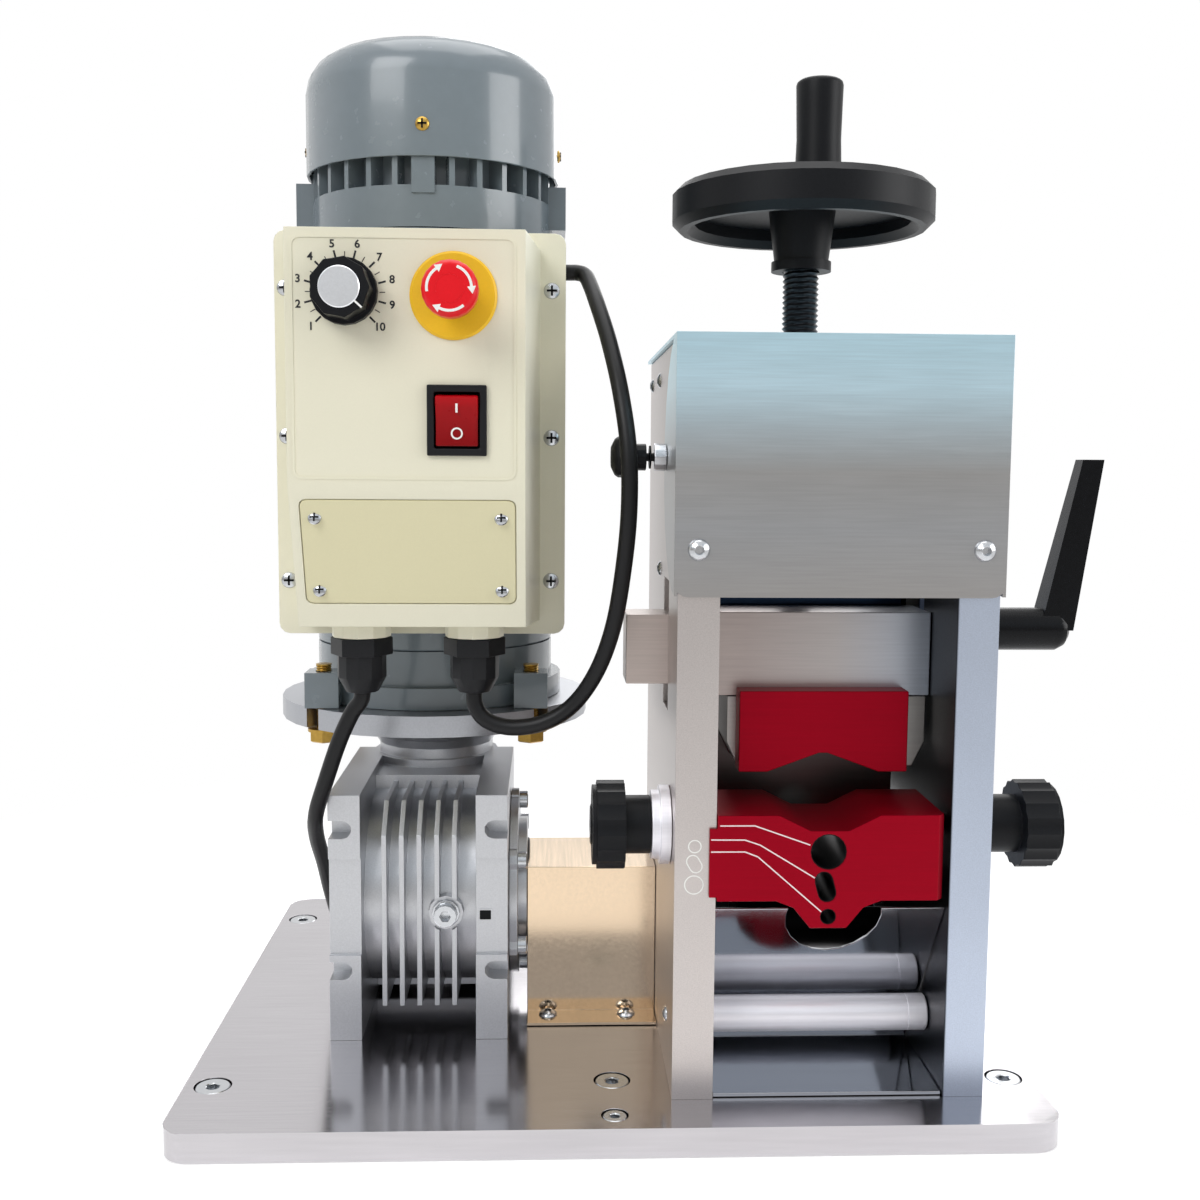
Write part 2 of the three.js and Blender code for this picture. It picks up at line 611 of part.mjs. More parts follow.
// Spindle, handwheel and turning handle, in the frame of the spindle's axis
function spindleShape() {
  const s = spindle;
  const low = holder.bodyTop - s.tipLength;
  const shoulder = holder.bodyTop + gap;
  const root = s.radius - s.threadDepth;
  const crests = Math.round((s.threadTop - s.threadBottom) / s.crestPitch);
  const step = (s.threadTop - s.threadBottom) / (2 * crests);
  const thread = copies(2 * crests + 1, (i) => [i % 2 ? root : s.radius, s.threadBottom + i * step]);
  const top = wheel.hubBottom + s.hubReach;
  const profile = [
    [0, low], [s.tipRadius, low], [s.tipRadius, shoulder], [s.radius, shoulder], ...thread,
    [root, s.threadTop + gap], [root, top], [0, top],
  ];
  return turned('z', profile, sides.fine);
}

function wheelShape() {
  const w = wheel;
  const top = w.bottom + w.height;
  const webTop = top - w.webDrop;
  const bore = w.radius - w.rimWidth;
  const soft = w.rimWidth / 3;
  const profile = [
    [0, w.hubBottom], [w.collarRadius, w.hubBottom], [w.collarRadius, w.hubBottom + w.collarHeight],
    [w.hubRadius, w.hubBottom + w.collarHeight], [w.hubTopRadius, webTop - w.web], [bore, webTop - w.web],
    [bore, w.bottom + soft], [bore + soft, w.bottom], [w.radius - soft, w.bottom],
    [w.radius, w.bottom + soft],
    [w.radius, top - soft], [w.radius - soft, top], [bore + soft, top], [bore, webTop], [0, webTop],
  ];
  const [x, y] = handlePlace();
  const spindleTop = w.hubBottom + spindle.hubReach + gap;
  return cut(
    join(turned('z', profile, sides.large), rod('z', x, y, handle.bossRadius, webTop - w.web, top)),
    rod('z', 0, 0, spindle.radius - spindle.threadDepth + gap, w.hubBottom + gap, spindleTop),
    rod('z', 0, 0, spindle.radius + gap, w.hubBottom - overrun, w.hubBottom + w.collarHeight),
    rod('z', x, y, handle.axleRadius + gap, w.bottom, top + overrun, sides.fine),
  );
}

function handlePlace() {
  const angle = THREE.MathUtils.degToRad(handle.angle);
  return [handle.offset * Math.cos(angle), handle.offset * Math.sin(angle)];
}

function makeHandwheel() {
  const h = handle;
  const foot = gap + h.footLength;
  const low = foot + gap;
  const high = low + h.length;
  const headLow = high - h.mouth;
  const axle = join(
    rod('z', 0, 0, h.axleRadius, -wheel.web - wheel.webDrop, headLow, sides.fine),
    rod('z', 0, 0, h.footRadius, gap, foot),
    rod('z', 0, 0, h.headRadius, headLow, headLow + h.headLength),
  );
  const edge = h.radius / 6;
  const profile = [
    [0, low], [h.radius - edge, low], [h.radius, low + edge], [h.radius, high - edge],
    [h.radius - edge, high], [0, high],
  ];
  const grip = cut(
    turned('z', profile, sides.medium),
    rod('z', 0, 0, h.axleRadius + gap, 0, high, sides.fine),
    rod('z', 0, 0, h.headRadius + gap, headLow - gap, high + overrun),
  );
  const [x, y] = handlePlace();
  const z = wheel.bottom + wheel.height;
  return group(
    wireX, spindle.y, 0,
    piece('spindle', spindleShape(), finish.darkSteel),
    piece('handwheel', wheelShape(), finish.blackPlastic),
    piece('handle_axle', axle, finish.steel, x, y, z),
    piece('handle_grip', grip, finish.blackPlastic, x, y, z),
  );
}

// Clamp lever, in the frame of its stud at the right plate's outer face
function makeClamp() {
  const c = clamp;
  const l = lever;
  const stud = join(
    rod('x', 0, 0, c.studRadius, c.studInner, c.baseLength, sides.fine),
    rod('x', 0, 0, c.baseRadius, gap, gap + c.baseLength),
    rod('x', 0, 0, c.insertRadius, gap, gap + c.insertLength),
  );
  const start = c.baseLength + 2 * gap;
  const end = start + l.hubLength;
  const third = l.dome / 3;
  const profile = [
    [0, start], [l.hubRadius, start], [l.hubRadius, end - l.dome], [l.hubRadius - third, end - third],
    [l.hubRadius / 2, end], [0, end],
  ];
  const corners = [-1, 1].flatMap((across) => [-1, 1].flatMap((side) => [
    [l.armMiddle + across * l.armWidth / 2, side * l.armDepth / 2, 0],
    [l.armMiddle + l.armLean + across * l.tipWidth / 2, side * l.tipDepth / 2, l.armRise],
  ]));
  const body = join(turned('x', profile, sides.medium), hull(corners));
  const handleShape = cut(body, rod('x', 0, 0, c.insertRadius + gap, 0, c.boreLength));
  return group(
    outerHalf, c.y, clampHeight,
    piece('clamp_stud', stud, finish.steel),
    piece('clamp_lever', handleShape, finish.blackPlastic),
  );
}

// Spring plunger, in the frame of its axis at the left plate's outer face
function makePlunger() {
  const p = plunger;
  const bush = cut(
    rod('x', 0, 0, p.bushRadius, p.bushStart, p.bushEnd),
    rod('x', 0, 0, p.pinRadius + gap, p.bushStart - overrun, overrun, sides.fine),
  );
  const r = p.headRadius;
  const tip = p.headEnd - p.headLength;
  const cap = [
    [0, tip], [r / 2, tip], [0.88 * r, tip + p.headLength / 4], [r, tip + p.headLength / 2],
    [r, p.headEnd], [0, p.headEnd],
  ];
  const pull = join(
    rod('x', 0, 0, p.pinRadius, p.stemEnd - overrun, p.pinEnd, sides.fine),
    rod('x', 0, 0, p.washerRadius, p.washerAt, p.washerAt + p.washerThickness, sides.fine),
    rod('x', 0, 0, p.stemRadius, p.headEnd - gap, p.stemEnd),
    turned('x', cap, sides.small),
  );
  return group(
    -outerHalf, p.y, p.height,
    piece('plunger_bush', bush, finish.blackPlastic),
    piece('plunger_knob', pull, finish.blackPlastic),
  );
}

// Worm gearbox, in the frame of the wheel's axis at the gearbox's middle
function gearWall(side) {
  const g = gear;
  const inner = g.halfWidth - g.leg;
  const outline = [
    [-g.half, -g.half], [g.half - g.corner, -g.half], [g.half, g.corner - g.half],
    [g.half, g.half - g.corner],
    [g.half - g.corner, g.half], [-g.half, g.half], [-g.half, g.half - g.padHigh],
    [g.recess - g.half, g.half - g.padHigh], [g.recess - g.half, g.padLow - g.half],
    [-g.half, g.padLow - g.half],
  ];
  const s = gearSlot;
  const tip = g.halfWidth - s.reach + s.radius;
  const slots = [s.high, s.low].map((z) => {
    const mouth = [[g.halfWidth + overrun, z - s.radius], [g.halfWidth + overrun, z + s.radius]];
    const slot = [...arc(tip, z, s.radius, 90, 270, 5), ...mouth];
    return prism('y', slot.map(([u, v]) => [side * u, v]), -g.half - overrun, s.through - g.half);
  });
  return cut(prism('x', outline, side * inner, side * g.halfWidth), ...slots);
}

function gearFins() {
  const f = gearFin;
  const outline = [
    [-f.front, -f.bottom], [0, -f.bottom], [0, f.top], [f.slant - f.front, f.top],
    [-f.front, f.top - f.slant],
  ];
  return copies(f.count, (i) => {
    const x = (i - (f.count - 1) / 2) * f.pitch;
    return prism('x', outline, x - f.thickness / 2, x + f.thickness / 2);
  });
}

function gearCase() {
  const g = gear;
  const inner = g.halfWidth - g.leg + overrun;
  const top = g.half + g.neckTop;
  const neck = [
    [0, g.half - overrun], [g.neckRadius, g.half - overrun], [g.neckRadius, g.half + g.neckRise],
    [g.neckTopRadius, g.half + g.neckMiddle], [g.neckTopRadius, top], [0, top],
  ];
  const o = oilPlug;
  return cut(
    join(
      gearWall(-1), gearWall(1), ...gearFins(),
      rod('x', 0, 0, g.drumRadius, -inner, inner, sides.large),
      rod('z', 0, g.wormOffset, g.tubeRadius, -g.half, g.half, sides.medium),
      block(-inner, inner, 0, g.wormOffset, overrun - g.half, g.half - overrun),
      turned('z', neck, sides.medium, 0, g.wormOffset),
      rod('y', o.x, o.height, o.bossRadius, -o.seat, -g.drumRadius / 2),
    ),
    rod('y', o.x, o.height, o.bossRadius, -o.seat - 2 * overrun, -o.seat),
    rod('y', o.x, o.height, o.shankRadius + gap, -o.seat - overrun, overrun - g.chamberRadius, sides.fine),
    rod('x', 0, 0, g.chamberRadius, -g.chamberWall, g.halfWidth + overrun, sides.medium),
    rod('z', 0, g.wormOffset, g.wormBore, -g.wormFloor, top + overrun, sides.medium),
    rod('x', 0, 0, shaft.radius + gap, -g.halfWidth - overrun, 0, sides.medium),
  );
}

function gearCoverShape() {
  const c = gearCover;
  const face = gear.halfWidth + gap;
  const plate = face + c.thickness;
  const lugs = copies(c.lugCount, (i) => {
    const angle = 2 * Math.PI * (i + 0.5) / c.lugCount;
    const [y, z] = [c.lugCircle * Math.cos(angle), c.lugCircle * Math.sin(angle)];
    return rod('x', y, z, c.lugRadius, face, plate, sides.fine);
  });
  return cut(
    join(
      rod('x', 0, 0, c.radius, face, plate, sides.large), ...lugs,
      rod('x', 0, 0, c.bossRadius, face, plate + c.bossLength, sides.medium),
      rod('x', 0, 0, gear.chamberRadius - gap, face - c.spigot, face + gap, sides.medium),
    ),
    rod('x', 0, 0, shaft.radius + gap, face - 2 * c.spigot, plate + 2 * c.spigot, sides.medium),
  );
}

function oilPlugShape() {
  const o = oilPlug;
  const under = -o.seat - gap;
  const top = under - o.washer - o.head;
  return cut(
    join(
      rod('y', 0, 0, o.shankRadius, under, o.shank - o.seat, sides.fine),
      rod('y', 0, 0, o.washerRadius, under - o.washer, under),
      rod('y', 0, 0, o.radius, top, under),
    ),
    prism('y', circle(0, 0, o.socketRadius, sides.hex), top - overrun, under - o.washer),
  );
}

function wormWheelShape() {
  const w = wormWheel;
  return cut(
    join(
      prism('x', toothed(w.radius, w.tooth, w.teeth), -w.halfWidth, w.halfWidth),
      rod('x', 0, 0, w.hubRadius, w.hubFrom, w.hubTo, sides.medium),
    ),
    rod('x', 0, 0, shaft.radius + gap, w.hubFrom - overrun, w.hubTo + overrun, sides.medium),
  );
}

function makeGearbox() {
  const headLeft = head.x - outerHalf - gearX;
  const headRight = headLeft + head.width;
  const shaftShape = join(
    rod('x', 0, 0, shaft.radius, -shaft.leftReach, headLeft - shaft.shoulder, sides.medium),
    rod('x', 0, 0, shaft.endRadius, 0, headRight - 2 * gap, sides.medium),
  );
  const rollerShape = cut(
    prism('x', toothed(roller.radius, roller.grooveDepth, roller.grooves), -roller.halfWidth,
      roller.halfWidth),
    rod('x', 0, 0, shaft.endRadius + gap, -roller.halfWidth - overrun, roller.halfWidth + overrun,
      sides.medium),
  );
  const bearingShape = ring('x', bearing.radius, shaft.endRadius + gap, 0, bearing.width);
  const leftBearing = headLeft + head.plate - bearing.width - gap;
  const rightBearing = headRight - head.plate + gap;
  const rollerX = head.x + wireX - gearX;
  return group(
    gearX, drive.y, base.thickness + drive.height,
    piece('gearbox_case', gearCase(), finish.cast),
    piece('gearbox_cover', gearCoverShape(), finish.cast),
    piece('oil_plug', oilPlugShape(), finish.steel, oilPlug.x, 0, oilPlug.height),
    piece('worm_wheel', wormWheelShape(), finish.bronze),
    piece('drive_shaft', shaftShape, finish.steel),
    piece('feed_roller', rollerShape, finish.darkSteel, rollerX),
    piece('left_shaft_bearing', bearingShape, finish.steel, leftBearing),
    piece('right_shaft_bearing', bearingShape, finish.steel, rightBearing),
  );
}

function makeGuard() {
  const g = guard;
  const from = gearX + gear.halfWidth + gearCover.thickness + gearCover.bossLength + 2 * gap;
  const to = head.x - outerHalf - gap;
  const [low, high] = [gap, g.top];
  const outline = [
    [g.front - g.footWidth, low], [g.front + g.sheet, low], [g.front + g.sheet, high - g.sheet],
    [g.rear - g.sheet, high - g.sheet], [g.rear - g.sheet, low], [g.rear, low], [g.rear, high],
    [g.front, high],
    [g.front, low + g.sheet], [g.front - g.footWidth, low + g.sheet],
  ];
  return group(0, drive.y, base.thickness, piece('coupling_guard', prism('x', outline, from, to),
    finish.guardSteel));
}

// Motor: the flange and its bolts, the two shields, the barrel, and what turns in it
const boltPlaces = [[-1, -1], [1, -1], [1, 1], [-1, 1]].map(([x, y]) => [x * flange.bolt, y * flange.bolt]);

function flangeShape() {
  const f = flange;
  const [low, high] = [-overrun, f.thickness + overrun];
  const notches = boltPlaces.map(([x, y]) => {
    const mouth = block(0, f.radius, -f.notchRadius, f.notchRadius, low, high).rotateZ(Math.atan2(y, x));
    return join(rod('z', x, y, f.notchRadius, low, high, sides.fine), mouth.translate(x, y, 0));
  });
  const disc = rod('z', 0, 0, f.radius, gap, f.thickness, sides.large);
  return cut(disc, rod('z', 0, 0, f.boreRadius, low, high, sides.medium), ...notches);
}

function boltShape() {
  const b = bolt;
  const hexRadius = b.across / Math.sqrt(3);
  return join(
    rod('z', 0, 0, b.radius, -b.washer, flange.thickness + b.reach, sides.fine),
    rod('z', 0, 0, b.washerRadius, -b.washer, 0),
    prism('z', circle(0, 0, hexRadius, sides.hex), -b.washer - b.head, gap - b.washer),
  );
}

function endShieldShape(low) {
  const s = shield;
  const top = low + s.height;
  const ears = boltPlaces.map(([x, y]) => {
    return block(x - s.earHalf, x + s.earHalf, y - s.earHalf, y + s.earHalf, low, low + s.ear);
  });
  const holes = boltPlaces.map(([x, y]) => rod('z', x, y, bolt.radius + gap, low - overrun, top, sides.fine));
  return cut(
    join(
      rod('z', 0, 0, s.discRadius, low, low + s.disc, sides.large),
      rod('z', 0, 0, barrel.radius, low, top, sides.large), ...ears,
    ),
    rod('z', 0, 0, s.boreRadius, low - overrun, top + overrun),
    rod('z', 0, 0, barrel.radius - barrel.wall, low + s.disc, top + overrun, sides.medium), ...holes,
  );
}

function rotorShape(coreLow, shaftTop) {
  const r = rotor;
  const bottom = -flange.bottom - r.wormBelow;
  const wormTop = r.wormAbove - flange.bottom;
  const root = r.wormRadius - r.thread;
  const span = (wormTop - bottom) / 2;
  const count = 2 * r.threads;
  const worm = copies(count + 1, (i) => [i % 2 ? r.wormRadius : root, bottom + span / 2 + span * i / count]);
  const [low, high] = [coreLow + gap, coreLow + stator.height - gap];
  const profile = [
    [0, bottom], [root, bottom], ...worm, [root, wormTop], [r.shaftRadius, wormTop], [r.shaftRadius, low],
    [r.radius, low], [r.radius, high], [r.shaftRadius, high], [r.shaftRadius, shaftTop], [0, shaftTop],
  ];
  return turned('z', profile, sides.small);
}

function topShieldShape() {
  const t = topShield;
  const top = t.body + t.rib;
  const coverInside = (fanCover.radius - fanCover.wall) * Math.cos(Math.PI / sides.large) - gap;
  const bossReach = Math.sqrt(coverInside ** 2 - t.bossHalf ** 2);
  const ribs = copies(t.ribs, (i) => {
    const boss = i % (t.ribs / t.bosses) === 0;
    const half = boss ? t.bossHalf : t.ribThickness / 2;
    const reach = boss ? bossReach : barrel.radius - gap;
    const rib = block(t.coreRadius - overrun, reach, -half, half, t.body - overrun, top);
    return rib.rotateZ(2 * Math.PI * (i / t.ribs - 1 / 4));
  });
  const ears = block(-t.earReach, t.earReach, -t.earHalf, t.earHalf, t.earBottom, t.earTop);
  return cut(
    join(
      rod('z', 0, 0, t.coreRadius, 0, top, sides.large),
      rod('z', 0, 0, barrel.radius, 0, t.body, sides.large), ears, ...ribs,
    ),
    rod('z', 0, 0, t.coreRadius - t.roof, -overrun, top - t.roof, sides.medium),
    rod('z', 0, 0, rotor.shaftRadius + gap, 0, top + overrun),
  );
}

function fanShape() {
  const f = fan;
  const half = f.bladeThickness / 2;
  const blades = copies(f.blades, (i) => {
    const paddle = block(f.hubRadius - overrun, f.radius, -half, half, 0, f.blade);
    return paddle.rotateZ(2 * Math.PI * i / f.blades);
  });
  return cut(
    join(rod('z', 0, 0, f.hubRadius, 0, f.hub), rod('z', 0, 0, f.radius, 0, f.disc, sides.medium), ...blades),
    rod('z', 0, 0, rotor.shaftRadius + gap, -overrun, f.hub + overrun),
  );
}

function fanCoverShell(inset) {
  const c = fanCover;
  const radius = c.radius - inset;
  const crown = c.height - inset;
  const bend = c.dome - inset;
  const low = inset ? -overrun : 0;
  const rim = arc(radius - bend, crown - c.crown - bend, bend, 0, 90, 4);
  return turned('z', [[0, low], [radius, low], ...rim, [0, crown]], sides.large);
}

function fanCoverShape() {
  const c = fanCover;
  const vents = copies(c.vents, (i) => {
    const vent = rod('z', c.ventCircle, 0, c.ventRadius, c.height - 4 * overrun, c.height + overrun,
      sides.hex);
    return vent.rotateZ(2 * Math.PI * i / c.vents);
  });
  return cut(fanCoverShell(0), fanCoverShell(c.wall), ...vents);
}

function makeMotor() {
  const shieldLow = flange.thickness + gap;
  const barrelLow = shieldLow + shield.height + gap;
  const topLow = barrelLow + barrel.height + gap;
  const ribTop = topLow + topShield.body + topShield.rib;
  const fanLow = ribTop + fan.rise;
  const statorLow = barrelLow + stator.setback;
  const inside = barrel.radius - barrel.wall;
  const statorRadius = inside * Math.cos(Math.PI / sides.medium) - gap;
  const tubeShape = ring('z', barrel.radius, inside, 0, barrel.height, sides.large);
  const packShape = ring('z', statorRadius, stator.bore, 0, stator.height);
  return group(
    gearX, drive.y + gear.wormOffset, base.thickness + drive.height + flange.bottom,
    piece('input_flange', flangeShape(), finish.cast),
    ...boltPlaces.map(([x, y], i) => piece(`flange_bolt_${i + 1}`, boltShape(), finish.zinc, x, y)),
    piece('motor_end_shield', endShieldShape(shieldLow), finish.greyPaint),
    piece('motor_barrel', tubeShape, finish.greyPaint, 0, 0, barrelLow),
    piece('stator', packShape, finish.copper, 0, 0, statorLow),
    piece('rotor_and_worm', rotorShape(statorLow, fanLow + fan.hub - gap), finish.steel),
    piece('motor_top_shield', topShieldShape(), finish.greyPaint, 0, 0, topLow),
    piece('cooling_fan', fanShape(), finish.blackPlastic, 0, 0, fanLow),
    piece('fan_cover', fanCoverShape(), finish.greyPaint, 0, 0, ribTop - fanCover.lap),
  );
}

// Control box: a cover with a drafted front and a sloped lower panel, on a shallow tray
function bellShape(inset) {
  const b = bell;
  const rear = inset ? box.flange + overrun : box.flange / 2;
  const corners = [
    [b.footHalf - inset, rear, b.footBottom + inset], [b.footHalf - inset, rear, b.footTop - inset],
    [b.faceHalf - inset, inset - b.faceDepth, b.faceTop - inset],
    [b.faceHalf - inset, inset - b.faceDepth, b.faceBottom],
    [b.faceHalf - inset, inset - b.lipDepth, b.lipBottom + inset],
  ];
  return hull(corners.flatMap(([x, y, z]) => [[x, y, z], [-x, y, z]]));
}

// The frame of the sloped panel: x across, y into it, z up along it from its top edge
function slopeFrame() {
  const frame = group(0, -bell.faceDepth, bell.faceBottom, new THREE.Group());
  frame.rotation.x = Math.atan2(bell.faceDepth - bell.lipDepth, bell.faceBottom - bell.lipBottom);
  frame.updateMatrix();
  return frame;
}

function boxCoverShape() {
  const b = box;
  const g = gland;
  const face = -bell.faceDepth;
  const half = access.width / 2 + gap;
  const top = gap - access.topMargin;
  const opening = rounded(-half, half, top - access.length - 2 * gap, top, access.corner);
  const pocket = prism('y', opening, -overrun, access.thickness);
  const glands = [g.leftX, g.rightX];
  const through = [face - overrun, face + b.wall + overrun];
  const halfWide = rocker.bodyWidth / 2 + gap;
  const halfHigh = rocker.bodyHeight / 2 + gap;
  const window = rectangle(rocker.x - halfWide, rocker.x + halfWide, rocker.z - halfHigh,
    rocker.z + halfHigh);
  return cut(
    join(
      prism('y', rounded(-b.width / 2, b.width / 2, 0, b.height, b.corner), 0, b.flange),
      bellShape(0),
      ...glands.map((x) => rod('z', x, g.y, g.bossRadius, g.bossBottom, bell.lipBottom + overrun)),
    ),
    bellShape(b.wall),
    pocket.applyMatrix4(slopeFrame().matrix),
    rod('y', dial.x, dial.z, dial.shaftRadius + gap, ...through, sides.fine),
    rod('y', estop.x, estop.z, estop.neckRadius + gap, ...through),
    prism('y', window, ...through),
    ...glands.map((x) => rod('z', x, g.y, g.spigotRadius + gap, -overrun, bell.lipBottom + b.wall + overrun)),
  );
}

function boxTrayShape() {
  const b = box;
  const front = b.flange + gap;
  const rear = front + b.depth;
  const [, leadY, leadZ] = motorLeadRoute.at(-1);
  const half = b.width / 2;
  const [motorX, motorY] = [gearX - b.x, drive.y + gear.wormOffset - b.front];
  return cut(
    prism('y', rounded(-half, half, 0, b.height, b.corner), front, rear),
    prism('y', rounded(b.wall - half, half - b.wall, b.wall, b.height - b.wall, b.corner), 0, rear - b.wall),
    rod('z', motorX, motorY, barrel.radius + gap, -overrun, b.height + overrun, sides.large),
    rod('x', leadY - b.front, leadZ - b.bottom, cord.radius + 2 * gap, 0, b.width, sides.fine),
  );
}

function accessPlateFrame() {
  const half = access.width / 2;
  const shape = prism('y', rounded(-half, half, -access.length, 0, access.corner), 0, access.thickness - gap);
  const frame = slopeFrame();
  frame.add(piece('access_plate', shape, finish.accessCream, 0, 0, -access.topMargin));
  return frame;
}

function glandShape() {
  const g = gland;
  const top = g.bossBottom - gap;
  const low = top - g.hex;
  const bottom = low - g.nut;
  const nut = [
    [0, bottom], [g.tipRadius, bottom], [g.nutRadius, bottom + g.nutTaper], [g.nutRadius, low + gap],
    [0, low + gap],
  ];
  return cut(
    join(
      rod('z', 0, 0, g.spigotRadius, top - gap, top + g.spigot),
      prism('z', circle(0, 0, g.across / Math.sqrt(3), sides.hex), low, top),
      turned('z', nut, sides.small),
    ),
    rod('z', 0, 0, cord.radius + 2 * gap, bottom - overrun, top + g.spigot + overrun, sides.fine),
  );
}

function dialShape() {
  const d = dial;
  const front = -gap - d.skirt;
  return join(
    rod('y', 0, 0, d.skirtRadius, front, -gap, sides.medium),
    prism('y', toothed(d.bodyRadius, d.fluteDepth, d.flutes), -gap - d.length, front + gap),
    rod('y', 0, 0, d.shaftRadius, front, d.shaftLength, sides.fine),
  );
}

function stopHeadShape() {
  const e = estop;
  const r = e.headRadius;
  const profile = [
    [0, e.headRear], [0.9 * r, e.headRear], [r, e.headRear - e.crown], [r, e.headFront + e.crown],
    [0.85 * r, e.headFront], [0, e.headFront],
  ];
  return cut(
    turned('y', profile, sides.medium),
    rod('y', 0, 0, e.stemRadius + gap, e.socketFloor, e.headRear + overrun),
  );
}

function switchFrameShape() {
  const r = rocker;
  const outer = rectangle(-r.width / 2, r.width / 2, -r.height / 2, r.height / 2);
  const body = rectangle(-r.bodyWidth / 2, r.bodyWidth / 2, -r.bodyHeight / 2, r.bodyHeight / 2);
  const window = rectangle(-r.windowWidth / 2, r.windowWidth / 2, -r.windowHeight / 2, r.windowHeight / 2);
  return cut(
    join(prism('y', outer, -gap - r.lip, -gap), prism('y', body, -2 * gap, r.bodyDepth)),
    prism('y', window, -overrun, r.windowDepth),
  );
}

// The rocker's front dips in the middle, and its back is a shallow wedge that it tips on
function rockerShape() {
  const r = rocker;
  const half = r.windowHeight / 2 - r.margin;
  const outline = [
    [r.front, 0], [r.front - r.swell, half], [r.rear - r.swell, half], [r.rear, 0], [r.rear - r.swell, -half],
    [r.front - r.swell, -half],
  ];
  const wide = r.windowWidth / 2 - r.margin / 2;
  return prism('x', outline, -wide, wide).rotateX(THREE.MathUtils.degToRad(r.tilt));
}

function makeBox() {
  const face = -bell.faceDepth;
  const e = estop;
  const stem = join(
    rod('y', 0, 0, e.neckRadius, e.neckFront, e.stemRear - overrun),
    rod('y', 0, 0, e.stemRadius, e.socketFloor + gap, e.stemRear),
  );
  const bezel = ring('y', e.ringRadius, e.neckRadius + gap, -gap - e.ring, -gap);
  return group(
    box.x, box.front, box.bottom,
    piece('box_base', boxTrayShape(), finish.cream),
    piece('box_cover', boxCoverShape(), finish.cream),
    accessPlateFrame(),
    piece('speed_knob', dialShape(), finish.blackPlastic, dial.x, face, dial.z),
    piece('estop_ring', bezel, finish.yellow, e.x, face, e.z),
    piece('estop_stem', stem, finish.buttonRed, e.x, face, e.z),
    piece('estop_head', stopHeadShape(), finish.buttonRed, e.x, face, e.z),
    piece('switch_frame', switchFrameShape(), finish.blackPlastic, rocker.x, face, rocker.z),
    piece('switch_rocker', rockerShape(), finish.rockerRed, rocker.x, face, rocker.z),
    piece('left_gland', glandShape(), finish.blackPlastic, gland.leftX, gland.y),
    piece('right_gland', glandShape(), finish.blackPlastic, gland.rightX, gland.y),
  );
}

// Cords: tubes swept along curves, and a coil of piled loops
function curveThrough(route) {
  return new THREE.CatmullRomCurve3(route.map((p) => new THREE.Vector3(...p)), false, 'centripetal');
}

function cordRun(route) {
  const curve = curveThrough(route);
  const corners = circle(0, 0, cord.radius, cord.sides);
  const section = new THREE.Shape(corners.map(([u, v]) => new THREE.Vector2(u, v)));
  const steps = Math.round(curve.getLength() / cord.step);
  return new THREE.ExtrudeGeometry(section, { steps, extrudePath: curve, bevelEnabled: false });
}

// The coil's middle line winds in on the floor, climbs, and winds out again on top of itself
function coilPoints() {
  const c = coil;
  const low = cord.radius + c.lift;
  const rise = 2 * cord.radius + c.clearance;
  const outer = c.innerRadius + c.pitch * c.turns;
  const loops = copies(2 * c.turns * c.loopSteps + 1, (i) => {
    const turn = i / c.loopSteps;
    const radius = c.innerRadius + c.pitch * Math.abs(c.turns - turn);
    const climb = THREE.MathUtils.smoothstep(turn, c.turns - 1 / 4, c.turns + 1 / 4);
    const angle = Math.PI * (1 - 2 * turn);
    const [x, y] = [c.x + radius * Math.cos(angle), c.y + radius * Math.sin(angle)];
    return new THREE.Vector3(x, y, low + rise * climb);
  });
  const leadIn = [c.leadIn, c.leadIn / 2].map((back) => new THREE.Vector3(c.x - outer, c.y - back, low));
  const top = low + rise;
  const tail = coilTail.map(([ahead, drop]) => new THREE.Vector3(c.x - outer, c.y + ahead, top + drop));
  return [...leadIn, ...loops, ...tail];
}

// A closed tube whose rings stand square to its points
function tube(points, radius, count) {
  const last = points.length - 1;
  const rings = points.map((p, i) => {
    const ahead = points[Math.min(i + 1, last)].clone().sub(points[Math.max(i - 1, 0)]).normalize();
    const side = new THREE.Vector3().crossVectors(ahead, unit.z).normalize();
    const up = new THREE.Vector3().crossVectors(side, ahead);
    const corners = circle(0, 0, radius, count);
    return corners.map(([u, v]) => p.clone().addScaledVector(side, u).addScaledVector(up, v));
  });
  const faces = [];
  for (let i = 0; i < last; i += 1) {
    for (let k = 0; k < count; k += 1) {
      const [a, b] = [i * count + k, i * count + (k + 1) % count];
      faces.push(a, b, b + count, a, b + count, a + count);
    }
  }
  const [first, final] = [rings.length * count, rings.length * count + 1];
  for (let k = 0; k < count; k += 1) {
    const next = (k + 1) % count;
    faces.push(first, next, k, final, last * count + k, last * count + next);
  }
  const geometry = new THREE.BufferGeometry().setFromPoints([...rings.flat(), points[0], points[last]]);
  geometry.setIndex(faces);
  return geometry;
}

function leastGap(points, radius, apart) {
  let least = Infinity;
  points.forEach((p, i) => {
    for (const other of points.slice(i + apart)) least = Math.min(least, p.distanceTo(other) - 2 * radius);
  });
  return least;
}

